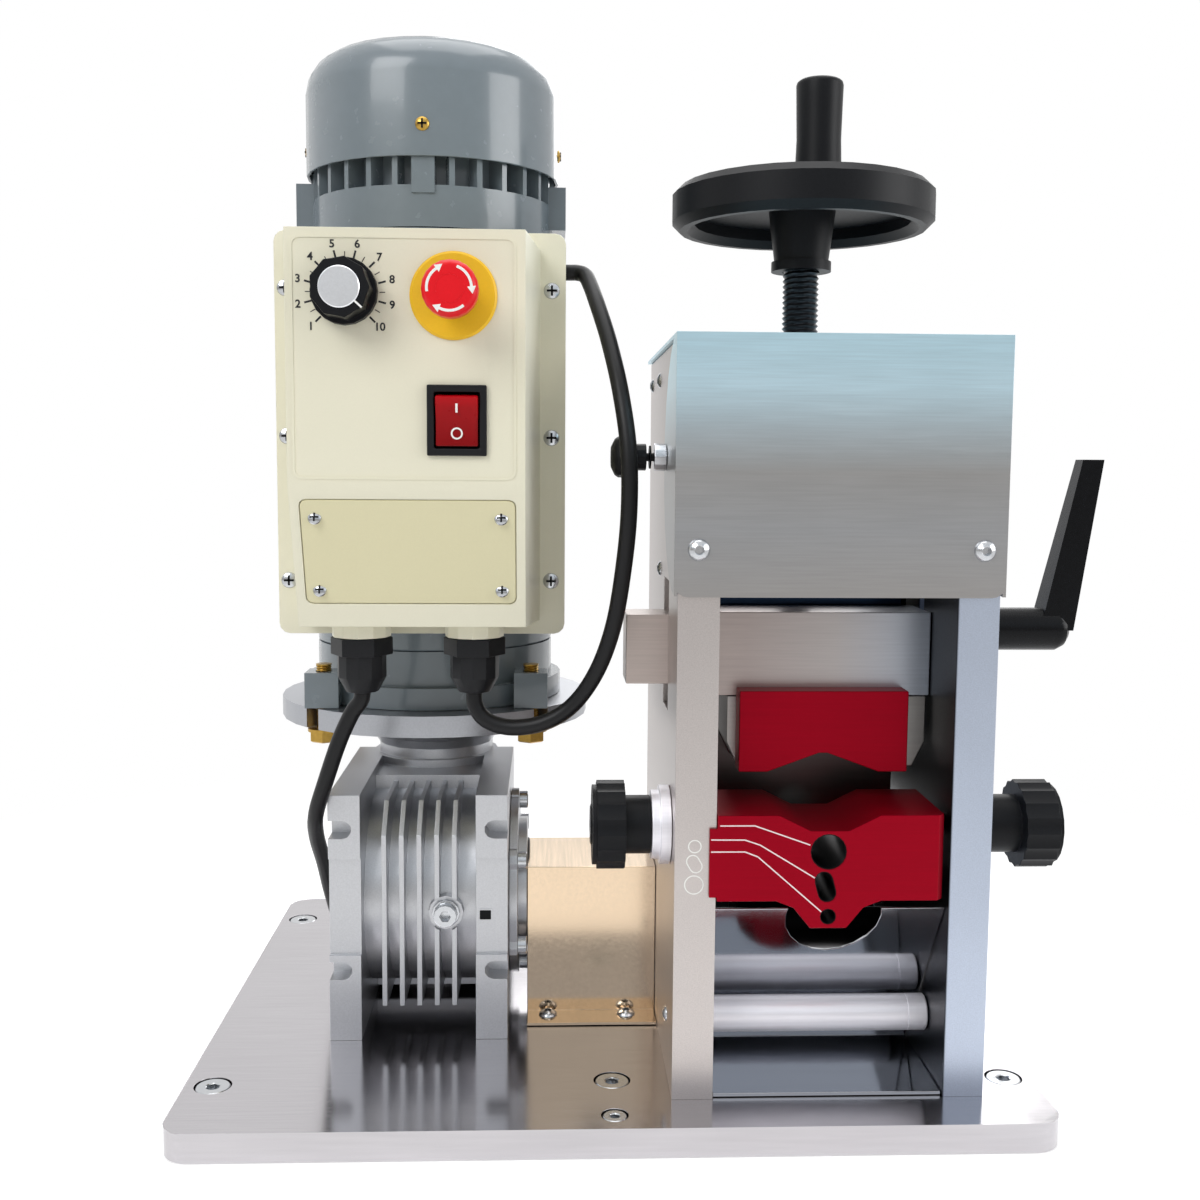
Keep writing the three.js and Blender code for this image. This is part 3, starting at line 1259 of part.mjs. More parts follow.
function plugShape() {
  const p = plug;
  const [wide, thick] = [p.width / 2, p.thickness / 2];
  const end = p.relief + p.length;
  const outline = [
    [p.edge - wide, -thick], [wide - p.edge, -thick], [wide, p.edge - thick], [wide, thick - p.edge],
    [wide - p.edge, thick], [p.edge - wide, thick], [-wide, thick - p.edge], [-wide, p.edge - thick],
  ];
  const pins = [-1, 1].map((side) => {
    const y = side * p.pinSpread / 2;
    const half = p.pinThickness / 2;
    const [low, high] = [p.pinThickness - p.pinHalf, p.pinThickness + p.pinHalf];
    return block(end - overrun, end + p.pin, y - half, y + half, low, high);
  });
  return join(
    turned('x', [[0, 0], [cord.radius, 0], [p.reliefRadius, p.relief], [0, p.relief]], sides.fine),
    prism('x', outline, p.relief - gap, end),
    rod('x', 0, -p.earthDrop, p.earthRadius, end - overrun, end + p.pin, sides.fine), ...pins,
  );
}

function makeCords() {
  const points = coilPoints();
  const end = points.at(-1);
  const lead = curveThrough(motorLeadRoute).getLength();
  const wound = curveThrough(points.map((p) => p.toArray())).getLength();
  const mains = curveThrough(mainsRoute).getLength() + wound;
  console.log('lengths: motor lead', lead.toFixed(1), 'mains cord', mains.toFixed(1));
  console.log('least gap in the coil', leastGap(points, cord.radius, coil.loopSteps / 2).toFixed(2));
  const plugMesh = piece('mains_plug', plugShape(), finish.rubber, end.x, end.y + gap, end.z);
  plugMesh.rotation.z = Math.PI / 2;
  return group(
    0, 0, 0,
    piece('motor_lead', cordRun(motorLeadRoute), finish.rubber),
    piece('mains_cord_run', cordRun(mainsRoute), finish.rubber),
    piece('mains_cord_coil', tube(points, cord.radius, coil.sides), finish.rubber),
    plugMesh,
  );
}

const machine = new THREE.Group();
machine.add(
  makeBase(),
  group(
    head.x, drive.y, base.thickness,
    ...makeHeadFrame(), ...makeGuides(), ...makeCarriage(), makeHandwheel(), makeClamp(), makePlunger(),
  ),
  makeGearbox(),
  makeGuard(),
  makeMotor(),
  makeBox(),
  makeCords(),
);

export default machine;
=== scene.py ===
"""Looks of a bench wire stripping machine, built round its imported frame.

Sizes are in millimetres in the row frame (+X right, +Y away, +Z up) and turn to metres when a piece is made.
"""
import logging
import math
from dataclasses import dataclass, field
from enum import Enum
from typing import Iterable, Sequence

import bmesh
import bpy
from mathutils import Matrix, Vector
from mathutils.bvhtree import BVHTree


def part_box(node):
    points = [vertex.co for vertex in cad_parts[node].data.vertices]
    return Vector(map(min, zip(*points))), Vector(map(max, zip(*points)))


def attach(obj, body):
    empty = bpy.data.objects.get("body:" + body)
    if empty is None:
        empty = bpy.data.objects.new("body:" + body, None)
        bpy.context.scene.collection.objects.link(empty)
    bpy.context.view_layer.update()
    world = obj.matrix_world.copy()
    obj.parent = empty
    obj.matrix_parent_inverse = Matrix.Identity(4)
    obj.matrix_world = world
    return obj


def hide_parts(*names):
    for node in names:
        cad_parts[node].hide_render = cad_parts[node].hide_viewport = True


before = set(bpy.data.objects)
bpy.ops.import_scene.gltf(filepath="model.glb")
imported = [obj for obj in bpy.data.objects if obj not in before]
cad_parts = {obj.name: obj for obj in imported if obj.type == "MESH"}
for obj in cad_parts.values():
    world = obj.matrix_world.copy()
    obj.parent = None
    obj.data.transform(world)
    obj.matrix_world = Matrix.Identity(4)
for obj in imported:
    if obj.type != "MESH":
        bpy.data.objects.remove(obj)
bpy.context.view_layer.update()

MM = 0.001
LOG = logging.getLogger("wire_stripper")

Point = Sequence[float]
Outline = Sequence[Sequence[float]]
Pair = tuple[float, float]
Triple = tuple[float, float, float]
Pairs = list[Pair]
Nodes = bpy.types.NodeTree
Socket = bpy.types.NodeSocket

WHITE = (1.0, 1.0, 1.0, 1.0)
# Places of a colour mix's two inputs and of its output among the node's sockets
MIX_A, MIX_B, MIX_RESULT = 6, 7, 2
ROUND = 48


class Axis(Enum):
    """A row axis that a section is turned about or drawn along, with its place in a point."""

    X = 0
    Y = 1
    Z = 2

    def point(self, u: float, v: float, along: float) -> Vector:
        """A section's point (u, v) at a place along the axis.

        Args:
            u: first number in the section: y, x or x for the axes X, Y and Z.
            v: second number in the section: z, z or y.
            along: place along the axis.

        Returns:
            The point in the row frame.
        """
        if self is Axis.X:
            return Vector((along, u, v))
        if self is Axis.Y:
            return Vector((u, along, v))
        return Vector((u, v, along))


class Grain(Enum):
    """How far a finish's marks are drawn out along x, y and z; a small number draws them out."""

    EVEN = (1.0, 1.0, 1.0)
    ALONG_X = (0.03, 1.0, 1.0)
    ALONG_Y = (1.0, 0.03, 1.0)
    ALONG_Z = (1.0, 1.0, 0.025)
    FLAT_X = (0.03, 1.0, 0.6)


# Finishes


def linear(code: str) -> tuple[float, float, float, float]:
    """Turns a colour written as #rrggbb into linear light.

    Args:
        code: the colour's code.

    Returns:
        Linear red, green, blue and 1.
    """
    parts = [int(code[i : i + 2], 16) / 255 for i in (1, 3, 5)]
    light = [p / 12.92 if p <= 0.04045 else ((p + 0.055) / 1.055) ** 2.4 for p in parts]
    return (light[0], light[1], light[2], 1.0)


def add_node(
    tree: Nodes, kind: str, inputs: dict[str | int, object] | None = None, **settings: str
) -> bpy.types.Node:
    """Adds a shader node.

    Args:
        tree: the nodes to add it to.
        kind: its type, without ShaderNode in front.
        inputs: for each input, its value or the socket that feeds it.
        settings: the node's own choices, such as its operation.

    Returns:
        The node.
    """
    made = tree.nodes.new("ShaderNode" + kind)
    for name, value in settings.items():
        setattr(made, name, value)
    for key, value in (inputs or {}).items():
        if isinstance(value, Socket):
            tree.links.new(value, made.inputs[key])
        else:
            made.inputs[key].default_value = value
    return made


def add_ramp(tree: Nodes, driver: Socket, stops: Sequence[tuple[float, Sequence[float]]]) -> Socket:
    """Adds a ramp of colours.

    Args:
        tree: the nodes to add it to.
        driver: the value that picks a place on the ramp, from 0 to 1.
        stops: place and colour of each stop.

    Returns:
        The colour's socket.
    """
    ramp = add_node(tree, "ValToRGB", {"Fac": driver})
    elements = ramp.color_ramp.elements
    while len(elements) < len(stops):
        elements.new(0.5)
    for stop, (spot, color) in zip(elements, stops):
        stop.position = spot
        stop.color = color
    return ramp.outputs["Color"]


@dataclass(frozen=True)
class Finish:
    """A surface finish: its colour, its gloss and the fine marks in it.

    Attributes:
        name: the material's name.
        slot: the material slot; not used.
        color: colour as #rrggbb.
        roughness: mean roughness.
        metallic: 1 for bare metal, 0 for paint and plastic.
        grain: direction of the marks.
        marks: marks per metre.
        tint: how much the marks lighten and darken the colour.
        rough_spread: how much the marks vary the roughness.
        bump: depth of the marks in millimetres.
        coat: weight of a clear coat.
        specular: how strongly a plastic or paint mirrors, 0.5 for common plastic.
        fade: painted light and shade, as colours along an axis in (place in mm, colour) pairs.
        fade_axis: that axis.
    """

    name: str
    slot: str
    color: str
    roughness: float
    metallic: float = 0.0
    grain: Grain = Grain.EVEN
    marks: float = 400.0
    tint: float = 0.06
    rough_spread: float = 0.08
    bump: float = 0.01
    coat: float = 0.0
    specular: float = 0.5
    fade: tuple[tuple[float, str], ...] = ()
    fade_axis: Axis = Axis.Z

    def material(self) -> bpy.types.Material:
        """The finish's material, made once.

        Returns:
            The material.
        """
        made = bpy.data.materials.get(self.name)
        if made:
            return made
        material = bpy.data.materials.new(self.name)
        material.use_nodes = True
        tree = material.node_tree
        shader = tree.nodes["Principled BSDF"]
        plain = {
            "Metallic": self.metallic, "Coat Weight": self.coat, "Coat Roughness": 0.08,
            "Specular IOR Level": self.specular,
        }
        for name, value in plain.items():
            shader.inputs[name].default_value = value
        place = add_node(tree, "TexCoord").outputs["Object"]
        drawn_out = add_node(tree, "Mapping", {"Vector": place, "Scale": self.grain.value}).outputs["Vector"]
        fine = add_node(tree, "TexNoise", {"Vector": drawn_out, "Scale": self.marks, "Detail": 3.0})
        broad = add_node(tree, "TexNoise", {"Vector": place, "Scale": 14.0, "Detail": 2.0})
        both = add_node(tree, "Mix", {"Factor": 0.3, "A": fine.outputs["Fac"], "B": broad.outputs["Fac"]})
        marks = both.outputs["Result"]
        least, most = self.roughness - self.rough_spread, self.roughness + self.rough_spread
        rough = add_node(
            tree, "MapRange", {"Value": marks, "To Min": max(0.02, least), "To Max": min(1.0, most)}
        )
        tree.links.new(self._colour(tree, marks, place), shader.inputs["Base Color"])
        tree.links.new(rough.outputs["Result"], shader.inputs["Roughness"])
        if self.bump:
            depth = {"Strength": 0.6, "Distance": self.bump * MM, "Height": fine.outputs["Fac"]}
            tree.links.new(add_node(tree, "Bump", depth).outputs["Normal"], shader.inputs["Normal"])
        return material

    def _colour(self, tree: Nodes, marks: Socket, place: Socket) -> Socket:
        """Adds the colour, lighter and darker by the marks, and with painted light and shade along an axis.

        Args:
            tree: the material's nodes.
            marks: the value that drives the shade.
            place: the point on the piece.

        Returns:
            The colour's socket.
        """
        base = linear(self.color)[:3]
        dark = [*(max(0.0, c * (1 - self.tint)) for c in base), 1.0]
        light = [*(min(1.0, c * (1 + self.tint)) for c in base), 1.0]
        shade = add_ramp(tree, marks, ((0.25, dark), (0.75, light)))
        if not self.fade:
            return shade
        # Painted light and shade: the colour is multiplied by a ramp of colours along an axis.
        low, high = self.fade[0][0], self.fade[-1][0]
        along = add_node(tree, "SeparateXYZ", {"Vector": place}).outputs[self.fade_axis.name]
        share = add_node(tree, "MapRange", {"From Min": low * MM, "From Max": high * MM, "Value": along})
        stops = [((spot - low) / (high - low), linear(code)) for spot, code in self.fade]
        inputs = {"Factor": 1.0, MIX_A: shade, MIX_B: add_ramp(tree, share.outputs["Result"], stops)}
        mix = add_node(tree, "Mix", inputs, data_type="RGBA", blend_type="MULTIPLY")
        return mix.outputs[MIX_RESULT]


BASE_METAL = Finish(
    "ground base plate", "plate_steel", "#c0bdc0", 0.15, metallic=1.0, grain=Grain.FLAT_X, marks=900,
)
# One plate steel in two tints: the left plate's pinkish tint and the right plate's bluish tint are painted
# reflections.
LEFT_METAL = Finish(
    "milled left plate", "plate_steel", "#c6bfbc", 0.36, metallic=1.0, marks=1900, tint=0.14,
    rough_spread=0.1, bump=0.02,
)
# Painted shade: from x 144.6 inwards, the right plate's inner face is painted near black.
RIGHT_METAL = Finish(
    "milled right plate", "plate_steel", "#b9c2d2", 0.36, metallic=1.0, marks=1900, tint=0.14,
    rough_spread=0.1, bump=0.02, fade=((144.6, "#2c2c30"), (145.3, "#ffffff")), fade_axis=Axis.X,
)
# Painted reflection: the colours along x tint the bar warm towards its left and light blue at its right end.
BAR_METAL = Finish(
    "milled bar", "plate_steel", "#cfcac8", 0.3, metallic=0.7, grain=Grain.ALONG_X, marks=1000, tint=0.1,
    rough_spread=0.07, fade=((5, "#e2d8d2"), (60, "#d9cfcc"), (100, "#e6e4e4"), (144, "#dbecff")),
    fade_axis=Axis.X,
)
# Painted shade: behind its front 3 mm the holder is painted near black, as it lies in shade inside the head.
HOLDER_METAL = Finish(
    "blade holder", "plate_steel", "#a9a6a3", 0.34, metallic=1.0, grain=Grain.ALONG_X, marks=900,
    tint=0.08, rough_spread=0.07, fade=((-60.0, "#ffffff"), (-57.0, "#2b2b2e"), (28.0, "#242427")),
    fade_axis=Axis.Y,
)
# Painted reflection: the colours along z run from grey low on the cover to light blue at its top.
COVER_METAL = Finish(
    "brushed folded cover", "cover_steel", "#ffffff", 0.33, metallic=0.8, grain=Grain.ALONG_X, marks=1300,
    tint=0.14, rough_spread=0.07, bump=0.012,
    fade=(
        (233, "#aaa7a5"), (262, "#aeafb1"), (286, "#b0afae"), (303, "#c0ccd2"), (322, "#d6f2fe"),
        (344, "#d0f2ff"),
    ),
)
MIRROR_METAL = Finish(
    "mirror sheet", "mirror_steel", "#c9cbd0", 0.07, metallic=1.0, grain=Grain.ALONG_X, marks=300,
    tint=0.03, rough_spread=0.03, bump=0.0,
)
GUARD_METAL = Finish(
    "polished guard", "guard_steel", "#dec7ab", 0.15, metallic=1.0, grain=Grain.ALONG_Y, marks=700,
    tint=0.07, rough_spread=0.06,
)
RED_ANODISED = Finish(
    "red anodised guide", "red_anodised", "#98001b", 0.4, metallic=0.6, grain=Grain.ALONG_X, marks=1200,
    tint=0.08, rough_spread=0.06, bump=0.006, specular=0.15,
)
BLACK_SATIN = Finish(
    "black satin moulding", "black_plastic", "#121316", 0.42, marks=900, tint=0.2, bump=0.02,
    specular=0.17,
)
BLACK_GLOSS = Finish(
    "black gloss lever", "black_plastic", "#0a0b0e", 0.26, marks=500, tint=0.2, bump=0.006, specular=0.18,
)
TURNED_STEEL = Finish(
    "turned steel", "turned_steel", "#c2c2c5", 0.28, metallic=1.0, grain=Grain.ALONG_X, marks=900,
    tint=0.07, rough_spread=0.06,
)
SATIN_STEEL = Finish(
    "satin tie bar", "turned_steel", "#f4f2f8", 0.42, metallic=0.55, grain=Grain.ALONG_X, marks=900,
    tint=0.07, rough_spread=0.06,
)
THREAD_STEEL = Finish("oiled thread", "turned_steel", "#3a3b3e", 0.3, metallic=0.9, marks=700, tint=0.2)
SCREW_STEEL = Finish(
    "bright screw", "turned_steel", "#c4c6c9", 0.22, metallic=1.0, marks=800, tint=0.07,
    rough_spread=0.05,
)
# Blackened steel; the same finish is also painted shade in the screws' cross slots, under the base screws and
# in the guide's holes.
DARK_STEEL = Finish(
    "blackened steel and painted shade", "dark_steel", "#141517", 0.4, metallic=0.5, marks=800, tint=0.15, specular=0.2,
)
BLUED_STEEL = Finish(
    "blued steel", "dark_steel", "#2b3d57", 0.18, metallic=1.0, grain=Grain.ALONG_X, marks=420, tint=0.8,
)
CAST_ALLOY = Finish(
    "die cast alloy", "cast_alloy", "#c6c7ca", 0.36, metallic=0.9, marks=1500, tint=0.1, rough_spread=0.1,
    bump=0.05,
)
FLANGE_ALLOY = Finish(
    "turned flange", "cast_alloy", "#aeb0b5", 0.34, metallic=0.95, marks=1200, tint=0.1, rough_spread=0.1,
    bump=0.02,
)
BRONZE = Finish("wheel bronze", "wheel_bronze", "#a98b4c", 0.35, metallic=1.0, marks=900, tint=0.1)
ZINC = Finish("yellow zinc bolt", "zinc_bolt", "#b8954a", 0.3, metallic=1.0, marks=600, tint=0.18)
MOTOR_PAINT = Finish(
    "blue-grey motor paint", "motor_paint", "#727c82", 0.26, marks=160, tint=0.04, rough_spread=0.05,
    bump=0.02, coat=0.4,
)
WINDING = Finish(
    "varnished winding", "winding", "#8e4f2c", 0.4, metallic=0.5, grain=Grain.ALONG_Z, marks=900,
    tint=0.25, rough_spread=0.1, bump=0.1,
)
FAN_BLACK = Finish("moulded fan", "fan_plastic", "#1d1f21", 0.5, marks=700, tint=0.15)
IVORY = Finish(
    "ivory moulding", "box_plastic", "#eae6cf", 0.3, marks=1300, tint=0.015, rough_spread=0.05,
    bump=0.012,
)
CREAM = Finish("cream access plate", "access_plastic", "#e1dab3", 0.38, marks=1300, tint=0.02, bump=0.012)
YELLOW = Finish("yellow ring", "yellow_plastic", "#efbd14", 0.45, marks=900, tint=0.03)
BUTTON_RED = Finish("red stop button", "button_red", "#e6101e", 0.3, marks=900, tint=0.04, specular=0.3)
# Painted shade and highlight: the rocker is darker towards its foot and full red at its top.
ROCKER_RED = Finish(
    "clear red rocker", "rocker_red", "#b8000f", 0.3, marks=500, specular=0.2,
    fade=((296, "#b8a8a8"), (312, "#e0d0d0"), (316, "#ffffff")),
)
STEM_BLACK = Finish(
    "black moulded fitting", "stem_plastic", "#151619", 0.42, marks=900, tint=0.15, bump=0.02,
    specular=0.25,
)
SHEATH = Finish(
    "black cord sheath", "cord_black", "#101012", 0.42, marks=500, tint=0.15, bump=0.03, specular=0.3,
)
SILVER_CAP = Finish(
    "silver knob cap", "turned_steel", "#f2f4f7", 0.3, metallic=1.0, marks=1200, tint=0.05,
    rough_spread=0.05,
)
WHITE_INK = Finish("white marking", "box_plastic", "#f2f2ee", 0.5, marks=900, tint=0.02, bump=0.0)
BLACK_INK = Finish("black marking", "stem_plastic", "#151517", 0.5, marks=900, tint=0.05, bump=0.0)
PALE_INK = Finish("pale engraving", "red_anodised", "#f0dfe0", 0.5, marks=900, tint=0.03, bump=0.0)


# Mesh building


def arc(u: float, v: float, radius: float, start: float, end: float, steps: int = 8) -> Pairs:
    """Points of an arc.

    Args:
        u: centre's first number.
        v: centre's second number.
        radius: radius.
        start: first angle in degrees.
        end: last angle in degrees.
        steps: stretches between the points.

    Returns:
        The points from start to end.
    """
    angles = [math.radians(start + (end - start) * i / steps) for i in range(steps + 1)]
    return [(u + radius * math.cos(a), v + radius * math.sin(a)) for a in angles]


def circle(u: float, v: float, radius: float, steps: int = 36) -> Pairs:
    """Points of a whole circle, the first one not repeated."""
    return arc(u, v, radius, 0, 360 - 360 / steps, steps - 1)


def rounded(left: float, right: float, low: float, high: float, radius: float) -> Pairs:
    """Outline of a rectangle with round corners.

    Args:
        left: smallest first number.
        right: largest first number.
        low: smallest second number.
        high: largest second number.
        radius: corner radius.

    Returns:
        The outline, once round.
    """
    return (
        arc(right - radius, high - radius, radius, 0, 90)
        + arc(left + radius, high - radius, radius, 90, 180)
        + arc(left + radius, low + radius, radius, 180, 270)
        + arc(right - radius, low + radius, radius, 270, 360)
    )


def weigh_normals(data: bpy.types.Mesh, limit: float) -> None:
    """Sets corner normals in which a large face counts for more than a narrow one, so that it looks flat.

    Args:
        data: the mesh.
        limit: faces that differ by less than this many degrees are shaded as one.
    """
    around: list[list[bpy.types.MeshPolygon]] = [[] for _ in data.vertices]
    for face in data.polygons:
        for corner in face.vertices:
            around[corner].append(face)
    least = math.cos(math.radians(limit))
    normals = []
    for face in data.polygons:
        way = face.normal.copy()
        for corner in face.vertices:
            near = [other for other in around[corner] if other.normal.dot(way) > least]
            total = sum((other.normal * other.area for other in near), Vector())
            normals.append(total.normalized() if total.length else way)
    data.normals_split_custom_set(normals)


def slotted(u: float, v: float, reach: float, radius: float, slant: float) -> Pairs:
    """A slot's outline, or a circle where its reach is 0.

    Args:
        u: middle's first number.
        v: middle's second number.
        reach: from the middle to the centre of a round end.
        radius: radius of the ends.
        slant: the slot's direction in degrees.

    Returns:
        The outline.
    """
    turn = math.radians(slant)
    loop = []
    for way in (1, -1):
        end = (u + reach * way * math.cos(turn), v + reach * way * math.sin(turn))
        loop += arc(*end, radius, slant - 90 * way, slant - 90 * way + 180, 16)[: None if reach else -1]
    return loop


def stroke(points: Outline, width: float) -> Pairs:
    """Outline of a line drawn with a pen.

    Args:
        points: the line's points.
        width: the pen's width.

    Returns:
        The outline, once round.
    """
    left, right = [], []
    for i, (u, v) in enumerate(points):
        before, after = points[max(i - 1, 0)], points[min(i + 1, len(points) - 1)]
        ahead = Vector((after[0] - before[0], after[1] - before[1])).normalized()
        left.append((u - ahead.y * width / 2, v + ahead.x * width / 2))
        right.append((u + ahead.y * width / 2, v - ahead.x * width / 2))
    return left + right[::-1]


def smooth_path(points: Sequence[Point], steps: int = 8) -> list[Vector]:
    """Runs a smooth line through points.

    Args:
        points: the points.
        steps: stretches from each point to the next.

    Returns:
        Points along the line, the given ones among them.
    """
    p = [Vector(q) for q in points]
    p = [2 * p[0] - p[1], *p, 2 * p[-1] - p[-2]]
    line = []
    for i in range(1, len(p) - 2):
        for k in range(steps):
            t = k / steps
            line.append(
                0.5 * (2 * p[i] + (p[i + 1] - p[i - 1]) * t
                       + (2 * p[i - 1] - 5 * p[i] + 4 * p[i + 1] - p[i + 2]) * t * t
                       + (3 * p[i] - p[i - 1] - 3 * p[i + 1] + p[i + 2]) * t ** 3)
            )
    return [*line, p[-2]]


def path_length(points: Sequence[Vector]) -> float:
    """Length of a line through points."""
    return sum((b - a).length for a, b in zip(points, points[1:]))


def facing(direction: Point, at: Point) -> Matrix:
    """Places what was made up the Z axis so that it points another way.

    Args:
        direction: where its +Z goes.
        at: where its origin goes.

    Returns:
        The transform.
    """
    turn = Vector(direction).normalized().to_track_quat("Z", "Y").to_matrix().to_4x4()
    return Matrix.Translation(Vector(at)) @ turn


class Shape:
    """A piece's mesh while it is made, in millimetres of the row frame.

    Attributes:
        capital: height of the font's capitals as a share of its size.
        ink: how far writing stands to each side of its middle.
        weld: corners of a solid that are nearer than this are one.
        flat: faces of a solid that differ by less than this many degrees are one.
    """

    capital: float = 0.72
    ink: float = 0.12
    weld: float = 0.002
    flat: float = 0.4

    def __init__(self) -> None:
        """Starts with nothing in it."""
        self.mesh = bmesh.new()

    @classmethod
    def of_node(cls, node: str) -> "Shape":
        """A copy of a frame solid, its flat faces joined up.

        Args:
            node: the solid's name.

        Returns:
            The copy.
        """
        shape = cls()
        shape.mesh.from_mesh(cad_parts[node].data)
        shape.mesh.transform(Matrix.Scale(1 / MM, 4))
        bmesh.ops.remove_doubles(shape.mesh, verts=shape.mesh.verts, dist=cls.weld)
        bmesh.ops.dissolve_limit(
            shape.mesh, angle_limit=math.radians(cls.flat), verts=shape.mesh.verts, edges=shape.mesh.edges
        )
        return shape

    def turn(
        self, profile: Outline, axis: Axis = Axis.Z, at: Point = (0, 0, 0), steps: int = ROUND,
        hexed: float = 0.0,
    ) -> "Shape":
        """Adds a profile turned about an axis.

        Args:
            profile: (radius, place along the axis) pairs, which start and end on the axis or are closed.
            axis: the axis.
            at: a point that the axis goes through.
            steps: points round the axis.
            hexed: rings of this radius or less are hexagons.

        Returns:
            The shape.
        """
        rings = []
        for radius, along in profile:
            if radius < 1e-6:
                rings.append([self.mesh.verts.new(Vector(at) + axis.point(0, 0, along))])
                continue
            ring = []
            for i in range(steps):
                angle = 2 * math.pi * i / steps
                part = (angle + math.pi / 6) % (math.pi / 3) - math.pi / 6  # from a flat side's middle
                reach = radius * math.cos(math.pi / 6) / math.cos(part) if radius <= hexed else radius
                spot = axis.point(reach * math.cos(angle), reach * math.sin(angle), along)
                ring.append(self.mesh.verts.new(Vector(at) + spot))
            rings.append(ring)
        if len(rings[0]) > 1 or len(rings[-1]) > 1:
            rings.append(rings[0])
        for a, b in zip(rings, rings[1:]):
            for i in range(steps):
                k = (i + 1) % steps
                corners = [a[i % len(a)], a[k % len(a)], b[k % len(b)], b[i % len(b)]]
                face = list(dict.fromkeys(corners))
                if len(face) > 2:
                    self.mesh.faces.new(face)
        return self

    def extrude(self, outline: Outline, axis: Axis, low: float, high: float) -> "Shape":
        """Adds a straight bar.

        Args:
            outline: its section, once round.
            axis: the axis that it runs along.
            low: where it starts.
            high: where it ends.

        Returns:
            The shape.
        """
        ends = [[self.mesh.verts.new(axis.point(u, v, at)) for u, v in outline] for at in (low, high)]
        for end in ends:
            self.mesh.faces.new(end)
        count = len(outline)
        for i in range(count):
            k = (i + 1) % count
            self.mesh.faces.new([ends[0][i], ends[0][k], ends[1][k], ends[1][i]])
        return self

    def block(self, low: Point, high: Point) -> "Shape":
        """Adds a box between two corners."""
        (x0, y0, z0), (x1, y1, z1) = low, high
        return self.extrude([(x0, y0), (x1, y0), (x1, y1), (x0, y1)], Axis.Z, z0, z1)

    def pierced(
        self, outline: Outline, holes: Sequence[Outline], axis: Axis, low: float, high: float
    ) -> "Shape":
        """Adds a flat plate with holes through it.

        Args:
            outline: its outside, once round.
            holes: each hole, once round.
            axis: the axis that the holes run along.
            low: the plate's lower face.
            high: the plate's upper face.

        Returns:
            The shape.
        """
        flat = bmesh.new()
        edges = []
        for loop in (outline, *holes):
            verts = [flat.verts.new((u, v, 0)) for u, v in loop]
            edges += [flat.edges.new((a, b)) for a, b in zip(verts, verts[1:] + verts[:1])]
        bmesh.ops.triangle_fill(flat, edges=edges, use_beauty=True, use_dissolve=False)
        flat.verts.index_update()
        sides = []
        for at in (low, high):
            sides.append([self.mesh.verts.new(axis.point(v.co.x, v.co.y, at)) for v in flat.verts])
        for face in flat.faces:
            for side in sides:
                self.mesh.faces.new([side[v.index] for v in face.verts])
        for edge in edges:
            a, b = (v.index for v in edge.verts)
            self.mesh.faces.new([sides[0][a], sides[0][b], sides[1][b], sides[1][a]])
        flat.free()
        return self

    def thread(
        self, radius: float, depth: float, pitch: float, low: float, high: float, at: Point
    ) -> "Shape":
        """Adds a rod up the Z axis with a screw thread on it.

        Args:
            radius: the thread's outer radius.
            depth: the thread's depth.
            pitch: rise of one turn.
            low: the rod's lower end.
            high: the rod's upper end.
            at: x and y of its axis, and zero.

        Returns:
            The shape.
        """
        steps, rows = 32, 6
        count = int((high - low) / pitch * rows)
        rings = []
        for row in range(count + 1):
            z = low + (high - low) * row / count
            ring = []
            for i in range(steps):
                turn = (z / pitch - i / steps) % 1
                fade = min(1.0, (z - low) / pitch, (high - z) / pitch)
                reach = radius - depth * fade * abs(2 * turn - 1)
                angle = 2 * math.pi * i / steps
                spot = Vector((reach * math.cos(angle), reach * math.sin(angle), z))
                ring.append(self.mesh.verts.new(Vector(at) + spot))
            rings.append(ring)
        for a, b in zip(rings, rings[1:]):
            for i in range(steps):
                k = (i + 1) % steps
                self.mesh.faces.new([a[i], a[k], b[k], b[i]])
        self.mesh.faces.new(rings[0])
        self.mesh.faces.new(rings[-1])
        return self

    def lettering(self, text: str, size: float, at: Point) -> "Shape":
        """Adds upright writing that faces the front.

        Args:
            text: the characters.
            size: height of a capital or a number.
            at: the middle of the writing.

        Returns:
            The shape.
        """
        data = bpy.data.curves.new("lettering", "FONT")
        data.body = text
        data.size = size / self.capital
        data.align_x = "CENTER"
        data.align_y = "CENTER"
        data.extrude = self.ink
        data.offset = 0.03 * size
        carrier = bpy.data.objects.new("lettering", data)
        bpy.context.scene.collection.objects.link(carrier)
        bpy.context.view_layer.update()
        drawn = bpy.data.meshes.new_from_object(carrier.evaluated_get(bpy.context.evaluated_depsgraph_get()))
        other = Shape()
        other.mesh.from_mesh(drawn)
        bpy.data.objects.remove(carrier)
        bpy.data.meshes.remove(drawn)
        return self.add(other, Matrix.Translation(Vector(at)) @ Matrix.Rotation(math.pi / 2, 4, "X"))

    def add(self, other: "Shape", place: Matrix | None = None) -> "Shape":
        """Adds another shape, which is used up.

        Args:
            other: the shape.
            place: where it goes; as it is when left out.

        Returns:
            The shape.
        """
        if place is not None:
            other.mesh.transform(place)
        carrier = bpy.data.meshes.new("carrier")
        other.mesh.to_mesh(carrier)
        other.mesh.free()
        self.mesh.from_mesh(carrier)
        bpy.data.meshes.remove(carrier)
        return self

    def soften(self, width: float, segments: int = 2, angle: float = 28.0) -> "Shape":
        """Rounds the sharp edges.

        Args:
            width: how far the rounding reaches from an edge.
            segments: faces across the rounding.
            angle: an edge sharper than this many degrees is rounded.

        Returns:
            The shape.
        """
        self.mesh.normal_update()
        limit = math.radians(angle)
        sharp = [e for e in self.mesh.edges if len(e.link_faces) == 2 and e.calc_face_angle(0) > limit]
        bmesh.ops.bevel(
            self.mesh, geom=sharp, offset=width, segments=segments, profile=0.5, affect="EDGES",
            clamp_overlap=True,
        )
        return self

